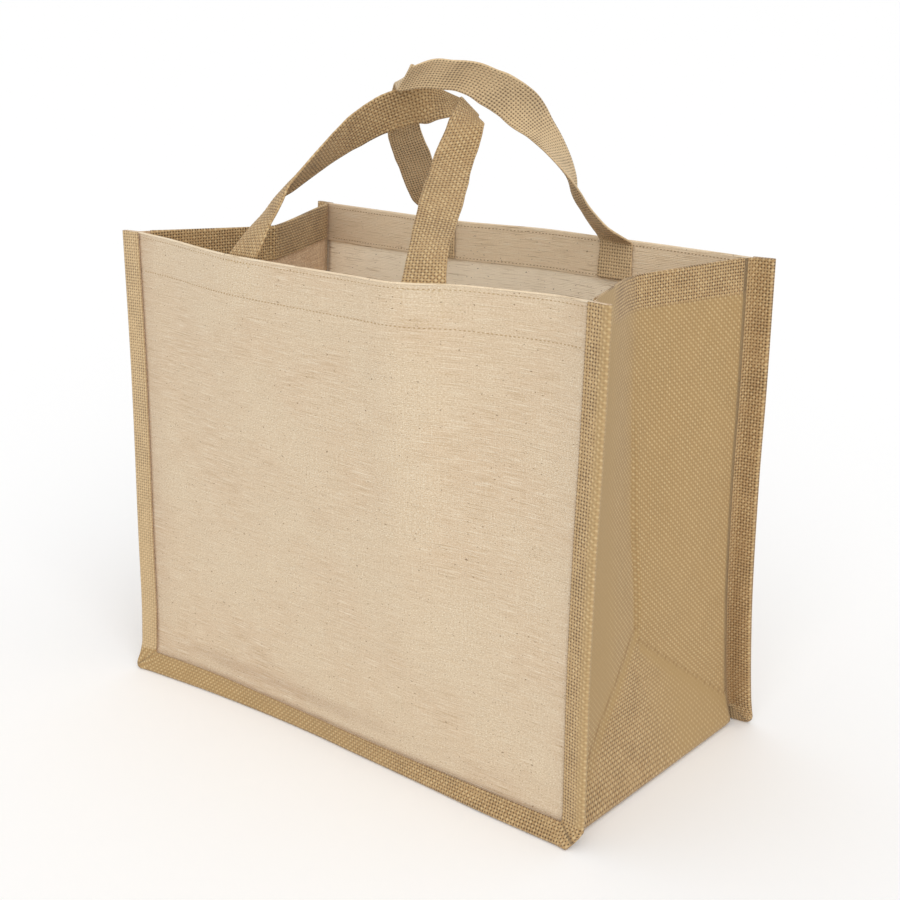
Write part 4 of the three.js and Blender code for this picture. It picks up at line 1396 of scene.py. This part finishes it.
class BAG_OT_stage(bpy.types.Operator):
    """Make the camera, the lights and the floor"""

    bl_idname = "jute_bag.stage"
    bl_label = "Stage"

    def execute(self, context):
        stage = context.scene.bag_stage
        self.add_camera(context, stage)
        self.add_floor(context)
        self.add_key_light(context, stage)
        world = bpy.data.worlds.new("studio")
        world.use_nodes = True
        background = world.node_tree.nodes["Background"]
        background.inputs["Color"].default_value = linear("#FFFFFF")
        background.inputs["Strength"].default_value = stage.room_light
        context.scene.world = world
        context.scene.view_settings.view_transform = "Standard"
        return {"FINISHED"}

    def add_camera(self, context, stage):
        """A camera on a sphere round its target: right, up and back from azimuth and elevation."""
        azimuth, elevation, roll = stage.azimuth, stage.elevation, stage.roll
        level = math.cos(elevation)
        back = (math.sin(azimuth) * level, -math.cos(azimuth) * level, math.sin(elevation))
        back = np.array(back)
        right = np.array([math.cos(azimuth), math.sin(azimuth), 0.0])
        up = np.cross(back, right)
        turned_right = right * math.cos(roll) + up * math.sin(roll)
        turned_up = up * math.cos(roll) - right * math.sin(roll)
        place = np.array(stage.target) + back * stage.distance
        data = bpy.data.cameras.new("camera")
        data.lens = stage.lens_mm
        data.sensor_width = 36
        data.clip_start = 0.05
        data.clip_end = 500
        camera = bpy.data.objects.new("camera", data)
        camera.matrix_world = facing(turned_right, turned_up, back, place)
        context.scene.collection.objects.link(camera)
        context.scene.camera = camera

    def add_floor(self, context):
        """A wide level floor, a hair below the bag."""
        reach, level = 200.0, -0.0002
        sides = ((-1, -1), (1, -1), (1, 1), (-1, 1))
        mesh = bpy.data.meshes.new("floor")
        mesh.from_pydata([(x * reach, y * reach, level) for x, y in sides], [], [(0, 1, 2, 3)])
        material, tree = new_material("studio_paper")
        colour = tuple(context.scene.bag_colours.floor)
        finish = {"Base Color": colour, "Roughness": 0.9, "Specular IOR Level": 0.1}
        shader = add(tree, "ShaderNodeBsdfPrincipled", finish)
        add(tree, "ShaderNodeOutputMaterial", {"Surface": shader.outputs[0]})
        mesh.materials.append(material)
        floor = bpy.data.objects.new("floor", mesh)
        context.scene.collection.objects.link(floor)

    def add_key_light(self, context, stage):
        """A broad soft light, the same all over the floor, that shines along its own -Z axis."""
        data = bpy.data.lights.new("key_light", "SUN")
        data.energy = stage.key_strength
        data.angle = stage.key_softness
        light = bpy.data.objects.new("key_light", data)
        back = unit(np.array([0.55, -0.6, 0.58]))
        right = unit(np.cross(np.array([0.0, 0.0, 1.0]), back))
        light.matrix_world = facing(right, np.cross(back, right), back)
        context.scene.collection.objects.link(light)


class BAG_PT_sidebar(bpy.types.Panel):
    """Lists the bag's pieces and its stage"""

    bl_label = "Jute bag"
    bl_idname = "BAG_PT_sidebar"
    bl_space_type = "VIEW_3D"
    bl_region_type = "UI"
    bl_category = "Jute bag"

    def draw(self, context):
        for operator in OPERATORS:
            self.layout.operator(operator.bl_idname)
        for group_name, group_class in GROUPS.items():
            box = self.layout.box()
            for name in group_class.__annotations__:
                box.prop(getattr(context.scene, group_name), name)


OPERATORS = (BAG_OT_stage, BAG_OT_panels, BAG_OT_gusset, BAG_OT_handles, BAG_OT_sewing)
GROUPS = {"bag_sizes": BagSizes, "bag_colours": BagColours, "bag_stage": BagStage}
CLASSES = (*GROUPS.values(), *OPERATORS, BAG_PT_sidebar)


def register():
    for cls in CLASSES:
        bpy.utils.register_class(cls)
    for name, group in GROUPS.items():
        setattr(bpy.types.Scene, name, PointerProperty(type=group))


def unregister():
    for name in GROUPS:
        delattr(bpy.types.Scene, name)
    for cls in reversed(CLASSES):
        bpy.utils.unregister_class(cls)


def main():
    register()
    bpy.ops.jute_bag.stage()
    bpy.ops.jute_bag.panels()
    bpy.ops.jute_bag.gusset()
    bpy.ops.jute_bag.handles()
    bpy.ops.jute_bag.sewing()


if __name__ == "__main__":
    main()
